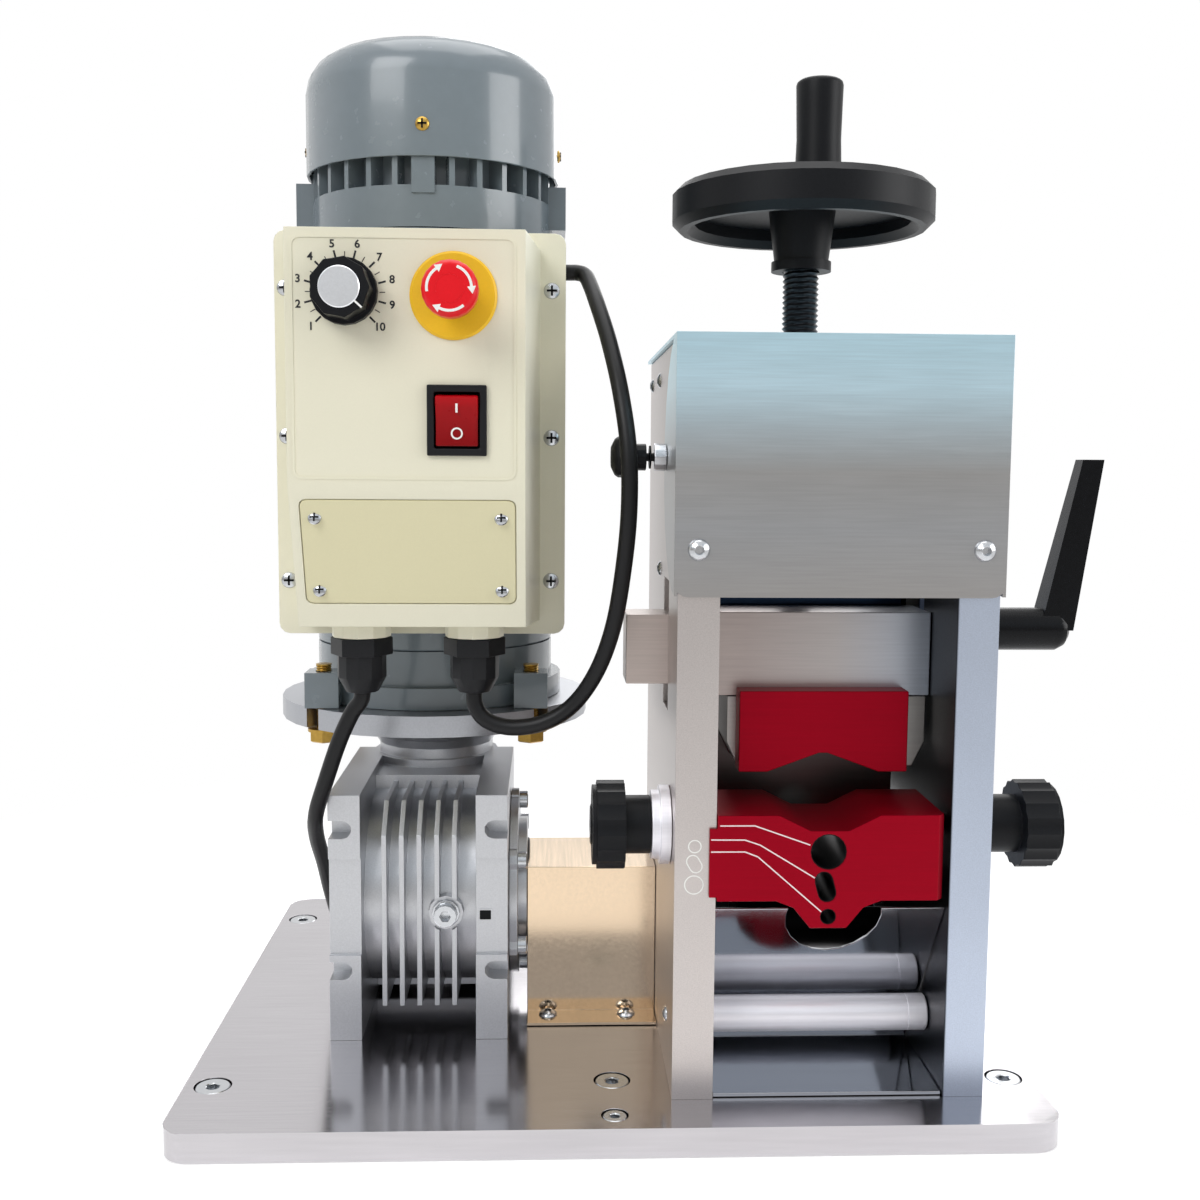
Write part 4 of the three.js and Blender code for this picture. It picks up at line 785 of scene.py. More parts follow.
    def piece(
        self, name: str, finish: Finish, body: str, replaces: Iterable[str] = (), smooth: float = 32.0
    ) -> bpy.types.Object:
        """Makes the object.

        Args:
            name: the piece's name.
            finish: its finish.
            body: the body that it rides on.
            replaces: frame solids that it stands for.
            smooth: edges flatter than this many degrees are shaded smooth.

        Returns:
            The object.
        """
        bmesh.ops.recalc_face_normals(self.mesh, faces=self.mesh.faces)
        self.mesh.transform(Matrix.Scale(MM, 4))
        data = bpy.data.meshes.new(name)
        self.mesh.to_mesh(data)
        self.mesh.free()
        data.shade_smooth()
        data.set_sharp_from_angle(angle=math.radians(smooth))
        weigh_normals(data, smooth)
        data.materials.append(finish.material())
        made = bpy.data.objects.new(name, data)
        bpy.context.scene.collection.objects.link(made)
        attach(made, body)
        if replaces:
            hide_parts(*replaces)
        LOG.info("%s: %d faces on %s", name, len(data.polygons), body)
        return made


def dressed(
    node: str, finish: Finish, body: str, width: float = 0.5, smooth: float = 32.0
) -> bpy.types.Object:
    """A frame solid with its edges rounded and its finish on.

    Args:
        node: the solid's name.
        finish: its finish.
        body: the body that it rides on.
        width: how far the rounding reaches from an edge.
        smooth: edges flatter than this many degrees are shaded smooth.

    Returns:
        The piece, which stands for the solid.
    """
    return Shape.of_node(node).soften(width).piece(node + "_finished", finish, body, [node], smooth=smooth)


def front_of(node: str, x: float, z: float) -> float:
    """Finds where a solid starts behind a point, seen from the front.

    Args:
        node: the solid's name.
        x: across.
        z: up.

    Returns:
        The y of its surface.
    """
    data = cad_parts[node].data
    tree = BVHTree.FromPolygons([v.co for v in data.vertices], [p.vertices for p in data.polygons])
    hit = tree.ray_cast(Vector((x * MM, -1.0, z * MM)), Vector((0, 1, 0)))[0]
    if hit is None:
        raise ValueError(f"{node} has nothing behind x {x}, z {z}")
    return hit.y / MM


def middle(node: str) -> Vector:
    """The middle of a frame solid's box, in millimetres."""
    low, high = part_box(node)
    return (low + high) / 2 / MM


def span(node: str, axis: Axis) -> tuple[float, float]:
    """Where a frame solid starts and ends along an axis, in millimetres."""
    low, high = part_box(node)
    return low[axis.value] / MM, high[axis.value] / MM


# Screw heads, made up the Z axis from zero and then put in place


def dome(radius: float, height: float, degrees: Sequence[float]) -> Pairs:
    """A domed head's profile.

    Args:
        radius: the head's radius.
        height: the head's height.
        degrees: angles up from the rim at which it has a point.

    Returns:
        The (radius, height) pairs.
    """
    angles = [math.radians(a) for a in degrees]
    return [(radius * math.cos(a), height * math.sin(a)) for a in angles]


@dataclass(frozen=True)
class ButtonScrew:
    """A domed screw head with a hexagon socket.

    Attributes:
        radius: the head's radius.
        height: the full dome's height.
        socket: the socket's corner radius.
        chamfer: the socket's wider mouth, as a share of its radius.
        floor: height of the socket's floor.
        rim: angles up from the rim at which the dome has a point, in degrees.
        mouth: the angle at which the dome is as high as the socket's mouth.
    """

    radius: float
    height: float
    socket: float
    chamfer: float = 1.08
    floor: float = 0.3
    rim: tuple[float, ...] = (0, 20, 40, 58)
    mouth: float = 68.0

    def place(self, name: str, body: str, places: Iterable[tuple[Point, Point]]) -> None:
        """Makes one piece of several heads.

        Args:
            name: the piece's name.
            body: the body that they ride on.
            places: for each head, the way that it points and the middle of its foot.
        """
        top = self.height * math.sin(math.radians(self.mouth))
        mouth = [(self.socket * self.chamfer, top), (self.socket, top - 0.1)]
        rim = dome(self.radius, self.height, self.rim)
        outline = [(0, 0), *rim, *mouth, (self.socket, self.floor), (0, self.floor)]
        heads = Shape()
        for out, at in places:
            heads.add(Shape().turn(outline, steps=36, hexed=self.socket), facing(out, at))
        heads.piece(name, SCREW_STEEL, body)


@dataclass(frozen=True)
class CrossScrew:
    """A domed screw head with a cross slot.

    Attributes:
        radius: the head's radius.
        height: the head's height.
        finish: the head's finish.
        rim: angles up from the rim at which the dome has a point, in degrees.
        slot: half the length and half the width of the cross's arms, as shares of the radius.
        slot_height: from where to where the cross reaches up, as shares of the height.
    """

    radius: float
    height: float
    finish: Finish = SCREW_STEEL
    rim: tuple[float, ...] = (0, 25, 50, 72)
    slot: Pair = (0.62, 0.13)
    slot_height: Pair = (0.3, 1.03)

    def place(self, name: str, places: Iterable[tuple[Point, Point]]) -> None:
        """Makes the heads and their crosses of painted shade, as two pieces on the frame.

        Args:
            name: the start of both pieces' names.
            places: for each head, the way that it points and the middle of its foot.
        """
        heads, slots = Shape(), Shape()
        for out, at in places:
            rim = dome(self.radius, self.height, self.rim)
            heads.add(Shape().turn([(0, 0), *rim, (0, self.height)], steps=32), facing(out, at))
            slots.add(self._cross(), facing(out, at))
        heads.piece(f"{name}_screws", self.finish, "frame")
        # Painted shade: dark crosses stand for the shaded cross recesses.
        slots.piece(f"{name}_screw_slots", DARK_STEEL, "frame")

    def _cross(self) -> Shape:
        """The cross recess in a head, drawn as a dark cross of painted shade.

        Returns:
            The cross.
        """
        arm, half = (self.radius * share for share in self.slot)
        low, high = (self.height * share for share in self.slot_height)
        shape = Shape().block((-arm, -half, low), (arm, half, high))
        return shape.block((-half, -arm, low), (half, arm, high))


# Studio


@dataclass
class Studio:
    """The pale room, its lamps and the camera.

    Attributes:
        focal: focal length in pixels of a frame of frame_width pixels.
        frame_width: the frame's width in pixels.
        sensor: width of the camera's sensor.
        near: nearest thing that the camera sees.
        place: the camera's place.
        pitch: degrees down.
        yaw: degrees towards +X.
        roll: degrees about the line of sight.
        room: half width of the floor.
        room_colors: the mirrored room's colours from below to above, as shares of the way up.
        room_front: y of a mirrored direction at which the room starts to turn white, and at which it is.
        soft_light: strength of the light from all round.
        soft_color: its colour.
        floor_color: the floor's own colour.
        floor_drop: how far the floor lies below the machine.
        floor_glow: light that the floor seems to give, so that it looks white.
        shadow_reach: from where to where the floor turns plain white.
        aim: what the lamps point at.
        lamps: name, place, side and power of each lamp.
    """

    focal: float = 1351.54
    frame_width: float = 1200.0
    sensor: float = 36.0
    near: float = 20.0
    place: Triple = (-30.02, -691.44, 287.65)
    pitch: float = 5.608
    yaw: float = 2.245
    roll: float = 0.399
    room: float = 3000.0
    room_colors: tuple[tuple[float, str], ...] = (
        (0.0, "#b5b5b8"), (0.42, "#a09c99"), (0.55, "#b4b1ae"), (0.72, "#e9f1f8"), (1.0, "#ffffff"),
    )
    room_front: Pair = (-0.35, 0.1)
    soft_light: float = 0.42
    soft_color: tuple[float, float, float, float] = (0.97, 0.985, 1.0, 1)
    floor_color: tuple[float, float, float, float] = (0.86, 0.86, 0.86, 1)
    floor_drop: float = 0.5
    floor_glow: float = 0.42
    shadow_reach: Pair = (250.0, 620.0)
    aim: Triple = (0, 0, 220)
    lamps: tuple[tuple[str, Triple, float, float], ...] = (
        ("key", (-900, -1100, 1300), 900, 12.6),
        ("fill", (1500, -500, 700), 900, 11.0),
        ("top", (0, 100, 1700), 1200, 9.0),
        ("back", (300, 1400, 1100), 900, 6.0),
    )

    def build(self) -> None:
        """Makes the camera, the world, the floor and the lamps."""
        self._camera()
        self._world()
        self._floor()
        for name, at, size, watts in self.lamps:
            self._lamp(name, at, size, watts)
        bpy.context.scene.view_settings.view_transform = "Standard"

    def _camera(self) -> None:
        """Puts the camera where the photograph was taken from."""
        yaw, pitch, roll = (math.radians(a) for a in (self.yaw, self.pitch, self.roll))
        ahead = Vector((math.sin(yaw) * math.cos(pitch), math.cos(yaw) * math.cos(pitch), -math.sin(pitch)))
        right = Vector((math.cos(yaw), -math.sin(yaw), 0))
        up = right.cross(ahead)
        side = right * math.cos(roll) + up * math.sin(roll)
        top = up * math.cos(roll) - right * math.sin(roll)
        data = bpy.data.cameras.new("camera")
        data.sensor_width = self.sensor
        data.lens = self.focal * self.sensor / self.frame_width
        data.clip_start = self.near * MM
        camera = bpy.data.objects.new("camera", data)
        turn = Matrix((side, top, -ahead)).transposed().to_4x4()
        camera.matrix_world = Matrix.Translation(Vector(self.place) * MM) @ turn
        bpy.context.scene.collection.objects.link(camera)
        bpy.context.scene.camera = camera

    def _rays(self, tree: Nodes, *kinds: str) -> Socket:
        """A value of 1 for rays of the given kinds, and 0 for others.

        Args:
            tree: the nodes to add it to.
            kinds: the light path's outputs.

        Returns:
            The value's socket.
        """
        path = add_node(tree, "LightPath")
        last = path.outputs[kinds[0]]
        for kind in kinds[1:]:
            last = add_node(tree, "Math", {0: last, 1: path.outputs[kind]}, operation="MAXIMUM").outputs[0]
        return last

    def _room_light(self, tree: Nodes) -> Socket:
        """The colours that metal mirrors: white behind the machine, a room with windows in front.

        Args:
            tree: the world's nodes.

        Returns:
            The colour's socket.
        """
        place = add_node(tree, "TexCoord").outputs["Generated"]
        way = add_node(tree, "SeparateXYZ", {"Vector": place}).outputs
        height = add_node(tree, "MapRange", {"From Min": -1.0, "Value": way["Z"]}).outputs["Result"]
        room = add_ramp(tree, height, [(share, linear(code)) for share, code in self.room_colors])
        end, white = self.room_front
        behind = add_node(tree, "MapRange", {"From Min": end, "From Max": white, "Value": way["Y"]})
        inputs = {"Factor": behind.outputs["Result"], MIX_A: room, MIX_B: WHITE}
        return add_node(tree, "Mix", inputs, data_type="RGBA").outputs[MIX_RESULT]

    def _world(self) -> None:
        """A white surround for what is seen, a room for what is mirrored, and a soft light from all round."""
        world = bpy.data.worlds.new("surround")
        bpy.context.scene.world = world
        world.use_nodes = True
        tree = world.node_tree
        tree.nodes.clear()
        soft = add_node(tree, "Background", {"Color": self.soft_color, "Strength": self.soft_light})
        room = add_node(tree, "Background", {"Color": self._room_light(tree)})
        white = add_node(tree, "Background", {"Color": WHITE})
        gloss = self._rays(tree, "Is Glossy Ray")
        seen = self._rays(tree, "Is Camera Ray", "Is Transmission Ray")
        lit = add_node(tree, "MixShader", {0: gloss, 1: soft.outputs[0], 2: room.outputs[0]})
        whole = add_node(tree, "MixShader", {0: seen, 1: lit.outputs[0], 2: white.outputs[0]})
        add_node(tree, "OutputWorld", {"Surface": whole.outputs[0]})

    def _floor(self) -> None:
        """A white floor that keeps the shadow near the machine and is plain white further off."""
        mesh = bmesh.new()
        bmesh.ops.create_grid(mesh, x_segments=2, y_segments=2, size=self.room * MM)
        data = bpy.data.meshes.new("floor")
        mesh.to_mesh(data)
        mesh.free()
        floor = bpy.data.objects.new("floor", data)
        floor.location.z = -self.floor_drop * MM
        bpy.context.scene.collection.objects.link(floor)
        material = bpy.data.materials.new("white floor")
        material.use_nodes = True
        tree = material.node_tree
        tree.nodes.clear()
        matt = add_node(tree, "BsdfDiffuse", {"Color": self.floor_color}).outputs[0]
        glow = add_node(tree, "Emission", {"Strength": self.floor_glow}).outputs[0]
        near = add_node(tree, "AddShader", {0: matt, 1: glow}).outputs[0]
        far = add_node(tree, "Emission").outputs[0]
        place = add_node(tree, "TexCoord").outputs["Object"]
        length = add_node(tree, "VectorMath", {0: place}, operation="LENGTH").outputs["Value"]
        start, end = (reach * MM for reach in self.shadow_reach)
        away = add_node(tree, "MapRange", {"From Min": start, "From Max": end, "Value": length})
        seen = add_node(tree, "MixShader", {0: away.outputs["Result"], 1: near, 2: far}).outputs[0]
        rays = self._rays(tree, "Is Camera Ray", "Is Glossy Ray", "Is Transmission Ray")
        mix = add_node(tree, "MixShader", {0: rays, 1: matt, 2: seen})
        add_node(tree, "OutputMaterial", {"Surface": mix.outputs[0]})
        data.materials.append(material)

    def _lamp(self, name: str, at: Point, size: float, watts: float) -> None:
        """Adds a square lamp that points at the machine.

        Args:
            name: the lamp's name.
            at: its place.
            size: its side.
            watts: its power.
        """
        data = bpy.data.lights.new(name, "AREA")
        data.shape = "SQUARE"
        data.size = size * MM
        data.energy = watts
        lamp = bpy.data.objects.new(name, data)
        lamp.matrix_world = facing(Vector(at) - Vector(self.aim), Vector(at) * MM)
        bpy.context.scene.collection.objects.link(lamp)


# Cords


@dataclass
class Cords:
    """The motor lead, and the mains cord with its coil and plug.

    Attributes:
        radius: radius of both cords.
        lead: points of the motor lead, from the right gland to the motor.
        run: points of the mains cord, from the left gland to its coil.
        coil_at: middle of the coil.
        inner: radius of its inner turn.
        pitch: step from one turn to the next.
        turns: turns in each of its two layers.
        loop_steps: points in one turn.
        clearance: gap between the layers.
        lift: gap below the lower layer.
        lead_in: the straight stretch before the coil.
        tail: how far ahead of the coil's end, and how far above it, the cord's last points lie.
        sleeve: length and end radius of the plug's ribbed sleeve.
        rib: outline of one rib, as (radius, place along the cord).
        ribs: how many there are.
        rib_step: step from one rib to the next.
        plug_length: length of the plug's body.
        plug_half: half its width and half its thickness.
        plug_corner: radius of its corners.
        grips: how many grips each flat side has.
        grip_at: where the first one starts, and the step to the next.
        grip_half: half a grip's length, and its width along the plug.
        pin: how far the pins stand out.
        flat_pin: half a flat pin's thickness, and how far it reaches below and above the plug's middle.
        pin_apart: half the distance between the flat pins.
        earth: radius of the round pin, radius of its tip, and how far below the middle it is.
        tie: the strap's width, thickness and corner radius.
    """

    radius: float = 3.75
    lead: tuple[Triple, ...] = (
        (-63.2, -76.05, 198), (-63.2, -76.05, 188), (-62.9, -76.2, 178.5), (-57.5, -77.5, 171.6),
        (-46, -79, 168.6), (-31, -81, 171.3), (-18, -83, 180), (-7.5, -87, 196), (-0.4, -91, 217),
        (3.6, -95, 242.3), (5.7, -98.5, 268.2), (5.3, -98.5, 294.9), (2, -90, 320.8), (-2.6, -75, 344),
        (-7.4, -60, 362), (-10.4, -46, 372.8), (-12.5, -37.5, 378.2), (-16, -34.3, 379.9), (-20, -34, 380),
        (-28, -34, 380),
    )
    run: tuple[Triple, ...] = (
        (-114.5, -76.05, 199), (-114.5, -76.05, 192), (-114.5, -76.05, 184), (-115.5, -76, 180),
        (-119.4, -75.5, 174.6), (-125.6, -73.5, 161.4), (-132.8, -69.5, 141.4), (-138.9, -61.5, 123.6),
        (-141.3, -46, 108.6), (-141.3, -26, 90), (-141.6, -5, 69), (-141.8, 20, 47), (-142.3, 48, 29.5),
        (-143.5, 76, 19.5), (-146, 104, 16.9), (-150, 130, 16.9), (-153.5, 146, 17.4), (-156, 156, 16.8),
        (-158.8, 164.5, 13), (-161.5, 174, 7.6), (-164.2, 185, 4.5), (-166.2, 196, 4.15),
    )
    coil_at: Pair = (-111.0, 215.0)
    inner: float = 39.2
    pitch: float = 8.0
    turns: int = 2
    loop_steps: int = 24
    clearance: float = 0.45
    lift: float = 0.4
    lead_in: float = 8.0
    tail: tuple[Pair, ...] = ((12, 0), (24, -0.8), (36, -2.8), (48, -4.3), (56, -4.3))
    sleeve: Pair = (22.0, 6.4)
    rib: tuple[Pair, ...] = ((5.2, 0), (5.2, 2.2), (4.4, 2.5), (4.4, 3.3))
    ribs: int = 5
    rib_step: float = 3.6
    plug_length: float = 38.0
    plug_half: Pair = (12.0, 7.5)
    plug_corner: float = 3.0
    grips: int = 4
    grip_at: Pair = (8.0, 5.0)
    grip_half: Pair = (6.0, 2.2)
    pin: float = 17.0
    flat_pin: Triple = (0.8, 1.6, 4.8)
    pin_apart: float = 6.35
    earth: Triple = (2.4, 1.2, 4.6)
    tie: Triple = (14.0, 1.2, 3.0)

    def coil_points(self) -> list[Triple]:
        """Points of the coil, in on the floor, up at the inner turn and out on top.

        Returns:
            The points, from the floor to the plug.
        """
        low = self.radius + self.lift
        rise = 2 * self.radius + self.clearance
        x, y = self.coil_at
        outer = self.inner + self.pitch * self.turns
        points = [(x - outer, y - back, low) for back in (self.lead_in, self.lead_in / 2)]
        for i in range(2 * self.turns * self.loop_steps + 1):
            turn = i / self.loop_steps
            radius = self.inner + self.pitch * abs(self.turns - turn)
            part = min(1.0, max(0.0, (turn - self.turns + 0.25) * 2))  # the climb takes half a turn
            climb = part * part * (3 - 2 * part)
            angle = math.pi * (1 - 2 * turn)
            points.append((x + radius * math.cos(angle), y + radius * math.sin(angle), low + rise * climb))
        return points + [(x - outer, y + ahead, low + rise + drop) for ahead, drop in self.tail]

    def build(self) -> None:
        """Makes both cords and the plug."""
        lead = self._cord("motor_lead_cord", smooth_path(self.lead), ["motor_lead"])
        coil = self.coil_points()
        line = smooth_path([*self.run, *coil], 4)
        mains = self._cord("mains_cord", line, ["mains_cord_run", "mains_cord_coil"])
        plug = self._plug(Vector(coil[-1]))
        self._tie()

    def _cord(self, name: str, line: Sequence[Vector], nodes: Sequence[str]) -> bpy.types.Object:
        """Makes a round cord along a line.

        Args:
            name: the cord's name.
            line: its centreline.
            nodes: the solids that it stands for.

        Returns:
            The cord.
        """
        data = bpy.data.curves.new(name, "CURVE")
        data.dimensions = "3D"
        data.bevel_depth = self.radius * MM
        data.bevel_resolution = 4
        data.use_fill_caps = True
        spline = data.splines.new("POLY")
        spline.points.add(len(line) - 1)
        for point, spot in zip(spline.points, line):
            point.co = (*(spot * MM), 1)
        spline.use_smooth = True
        data.materials.append(SHEATH.material())
        cord = bpy.data.objects.new(name, data)
        bpy.context.scene.collection.objects.link(cord)
        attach(cord, "frame")
        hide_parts(*nodes)
        LOG.info("%s: %.1f mm long", name, path_length(line))
        return cord

    def _tie(self) -> bpy.types.Object:
        """Makes the strap that holds the coil together, across from the plug.

        Returns:
            The strap.
        """
        width, thick, corner = self.tie
        x, y = self.coil_at
        low = x + self.inner - 2 * self.radius
        high = x + self.inner + self.pitch * self.turns + self.radius + thick
        top = 4 * self.radius + self.lift + self.clearance + thick
        outer = rounded(low - thick, high, 0.05, top, corner)
        inner = rounded(low, high - thick, 0.3, top - thick, corner - thick)
        shape = Shape().pierced(outer, [inner], Axis.Y, y - width / 2, y + width / 2)
        return shape.soften(0.3, segments=1).piece("cord_tie", STEM_BLACK, "frame")

    def _plug(self, end: Vector) -> tuple[bpy.types.Object, bpy.types.Object]:
        """Makes the plug and its pins ahead of the cord's end.

        Args:
            end: the cord's end.

        Returns:
            The moulded plug and the pins.
        """
        x, y, z = end
        wide, thick = self.plug_half
        length, radius = self.sleeve
        start = y + 0.3
        body_start = start + length
        front = body_start + self.plug_length
        ribs = [(r, start + self.rib_step * i + ahead) for i in range(self.ribs) for r, ahead in self.rib]
        sleeve = [(0, start), *ribs, (radius, body_start), (0, body_start)]
        shape = Shape().turn(sleeve, Axis.Y, (x, 0, z), steps=32)
        section = rounded(x - wide, x + wide, z - thick, z + thick, self.plug_corner)
        shape.add(Shape().extrude(section, Axis.Y, body_start - 0.5, front).soften(0.8, angle=40))
        half, along = self.grip_half
        first, step = self.grip_at
        for side in (-1, 1):
            for i in range(self.grips):
                grip = body_start + first + step * i
                low, high = z + side * thick - 0.3, z + side * (thick - 0.1) + 0.3
                shape.block((x - half, grip, low), (x + half, grip + along, high))
        moulding = shape.piece("mains_plug_body", SHEATH, "frame", ["mains_plug"])
        pins = Shape()
        half, below, above = self.flat_pin
        for side in (-1, 1):
            at = x + side * self.pin_apart
            pins.block((at - half, front - 1, z - below), (at + half, front + self.pin, z + above))
        pins.soften(0.5)
        radius, tip, drop = self.earth
        last = front + self.pin
        earth = [(0, front - 1), (radius, front - 1), (radius, last - 1.5), (tip, last), (0, last)]
        pins.turn(earth, Axis.Y, (x, 0, z - drop), steps=24)
        return moulding, pins.piece("mains_plug_pins", SCREW_STEEL, "frame")


# Base and cutting head


@dataclass
class BasePlate:
    """The ground plate with its countersunk screws.

    Attributes:
        half: half its width and half its depth.
        corner: radius of its corners.
        thickness: its thickness.
        screws: x, y and head radius of each screw.
        gap: from a head to its hole.
        head: a head's height.
        sunk: how far a head lies below the plate's top.
        socket: height of a socket's floor above the head's foot.
        foot_share: radius of a head's foot, as a share of the head's radius.
        socket_share: a socket's corner radius, likewise.
        mouth_share: radius of the socket's mouth, likewise.
        floor: from where to where the dark discs of painted shade at the floors of the holes reach.
    """

    half: Pair = (190.5, 152.4)
    corner: float = 12.0
    thickness: float = 12.7
    screws: tuple[Triple, ...] = (
        (-178, -108, 7.6), (178, -108, 7.6), (-178, 115, 7.6), (178, 115, 7.6), (-0.2, -106.7, 7.6),
        (-0.5, -139.8, 5.2),
    )
    gap: float = 0.7
    head: float = 7.0
    sunk: float = 0.3
    socket: float = 3.2
    foot_share: float = 0.6
    socket_share: float = 0.42
    mouth_share: float = 0.46
    floor: Pair = (2.0, 3.0)

    def build(self) -> None:
        """Makes the plate and the screws."""
        x, y = self.half
        holes = [circle(u, v, r + self.gap, steps=24) for u, v, r in self.screws]
        plate = Shape().pierced(rounded(-x, x, -y, y, self.corner), holes, Axis.Z, 0, self.thickness)
        plate.soften(0.7).piece("base_plate_ground", BASE_METAL, "frame", ["base_plate"])
        heads, floors = Shape(), Shape()
        top, foot = self.head, self.thickness - self.head - self.sunk
        low, high = self.floor
        for u, v, r in self.screws:
            mouth, inner = r * self.mouth_share, r * self.socket_share
            cone = [(0, 0), (r * self.foot_share, 0), (r, top - 0.8), (r, top - 0.3), (r - 0.4, top)]
            socket = [(mouth, top), (inner, top - 0.4), (inner, self.socket), (0, self.socket)]
            heads.turn([*cone, *socket], Axis.Z, (u, v, foot), hexed=inner)
            reach = r + self.gap + 0.05
            disc = [(0, low), (reach, low), (reach, high), (0, high)]
            floors.turn(disc, Axis.Z, (u, v, 0), steps=24)
        heads.piece("base_plate_screws", SCREW_STEEL, "frame")
        floors.piece("base_screw_shadows", DARK_STEEL, "frame")


@dataclass
class CuttingHead:
    """Side plates, top block, cover, tie bar and mirror sheet.

    Attributes:
        bar_radius: the tie bar's radius.
        bar_edge: its chamfer.
        bar_joint: from its right end to the line round it.
        cover_screw: a screw on the cover.
        cover_screws: x and z of each.
        plate_screw: a screw in a side plate's side.
        plate_screws: y and z of each, on both plates.
        icons: x, z and radius of each engraved circle.
        oval: x and z of the engraved oval.
        oval_size: from its middle to the centre of a round end, and the end's radius.
        oval_slant: its direction in degrees.
        pen: half the width of the engraved lines.
        ink: how far they stand out of the plate, and how far they reach in.
    """

    bar_radius: float = 8.2
    bar_edge: float = 0.6
    bar_joint: float = 9.0
    cover_screw: ButtonScrew = ButtonScrew(radius=4.75, height=2.8, socket=2.0)
    cover_screws: tuple[Pair, ...] = ((33.4, 253.5), (154.7, 253.6))
    plate_screw: ButtonScrew = ButtonScrew(radius=3.6, height=1.6, socket=1.7)
    plate_screws: tuple[Pair, ...] = (
        (-95.0, 38.7), (20.3, 330.0), (-25.0, 330.0), (-37.7, 239.0),
    )
    icons: tuple[Triple, ...] = ((33.6, 125.9, 2.7), (33.4, 109.0, 4.0))
    oval: Pair = (33.5, 118.2)
    oval_size: Pair = (1.3, 2.7)
    oval_slant: float = 120.0
    pen: float = 0.25
    ink: Pair = (0.08, 0.2)

    def build(self) -> None:
        """Makes the head's fixed pieces."""
        dressed("left_side_plate", LEFT_METAL, "frame", width=0.8)
        dressed("right_side_plate", RIGHT_METAL, "frame", width=0.8)
        dressed("top_block", LEFT_METAL, "frame", width=0.5)
        dressed("top_cover", COVER_METAL, "frame", width=0.45)
        dressed("mirror_sheet", MIRROR_METAL, "frame", width=0.3)
        self._tie_bar()
        self._screws()
        self._icons()

    def _tie_bar(self) -> None:
        """The round bar across the mouth, with the line where the screw's head meets it."""
        at = middle("tie_bar")
        low, high = span("tie_bar", Axis.X)
        radius, edge, line = self.bar_radius, self.bar_edge, high - self.bar_joint
        outline = [(0, low), (radius - edge, low), (radius, low + edge)]
        outline += [(radius, line - 0.3), (radius - 0.3, line), (radius, line + 0.3)]
        outline += [(radius, high - edge), (radius - edge, high), (0, high)]
        shape = Shape().turn(outline, Axis.X, (0, at.y, at.z), steps=56)
        shape.piece("tie_bar_turned", SATIN_STEEL, "frame", ["tie_bar"])

    def _screws(self) -> None:
        """Button heads on the cover, and in the right and left plate's sides."""
        spots = [(x, front_of("top_cover", x, z), z) for x, z in self.cover_screws]
        self.cover_screw.place("cover_screws", "frame", [((0, -1, 0), spot) for spot in spots])
        right, left = span("right_side_plate", Axis.X)[1], span("left_side_plate", Axis.X)[0]
        self.plate_screw.place(
            "side_plate_screws", "frame",
            [((way, 0, 0), (x, y, z)) for x, way in ((right, 1), (left, -1)) for y, z in self.plate_screws],
        )

    def _icons(self) -> None:
        """Engraved circles and the oval that show the guide's holes, on the left plate's front."""
        shape = Shape()
        out, into = self.ink
        y = front_of("left_side_plate", *self.oval)
        rings = [[circle(x, z, r + grow) for grow in (self.pen, -self.pen)] for x, z, r in self.icons]
        reach, radius = self.oval_size
        ends = (radius + self.pen, radius - self.pen)
        rings.append([slotted(*self.oval, reach, r, self.oval_slant) for r in ends])
        for outer, inner in rings:
            shape.pierced(outer, [inner], Axis.Y, y - out, y + into)
        shape.piece("guide_icons", WHITE_INK, "frame")


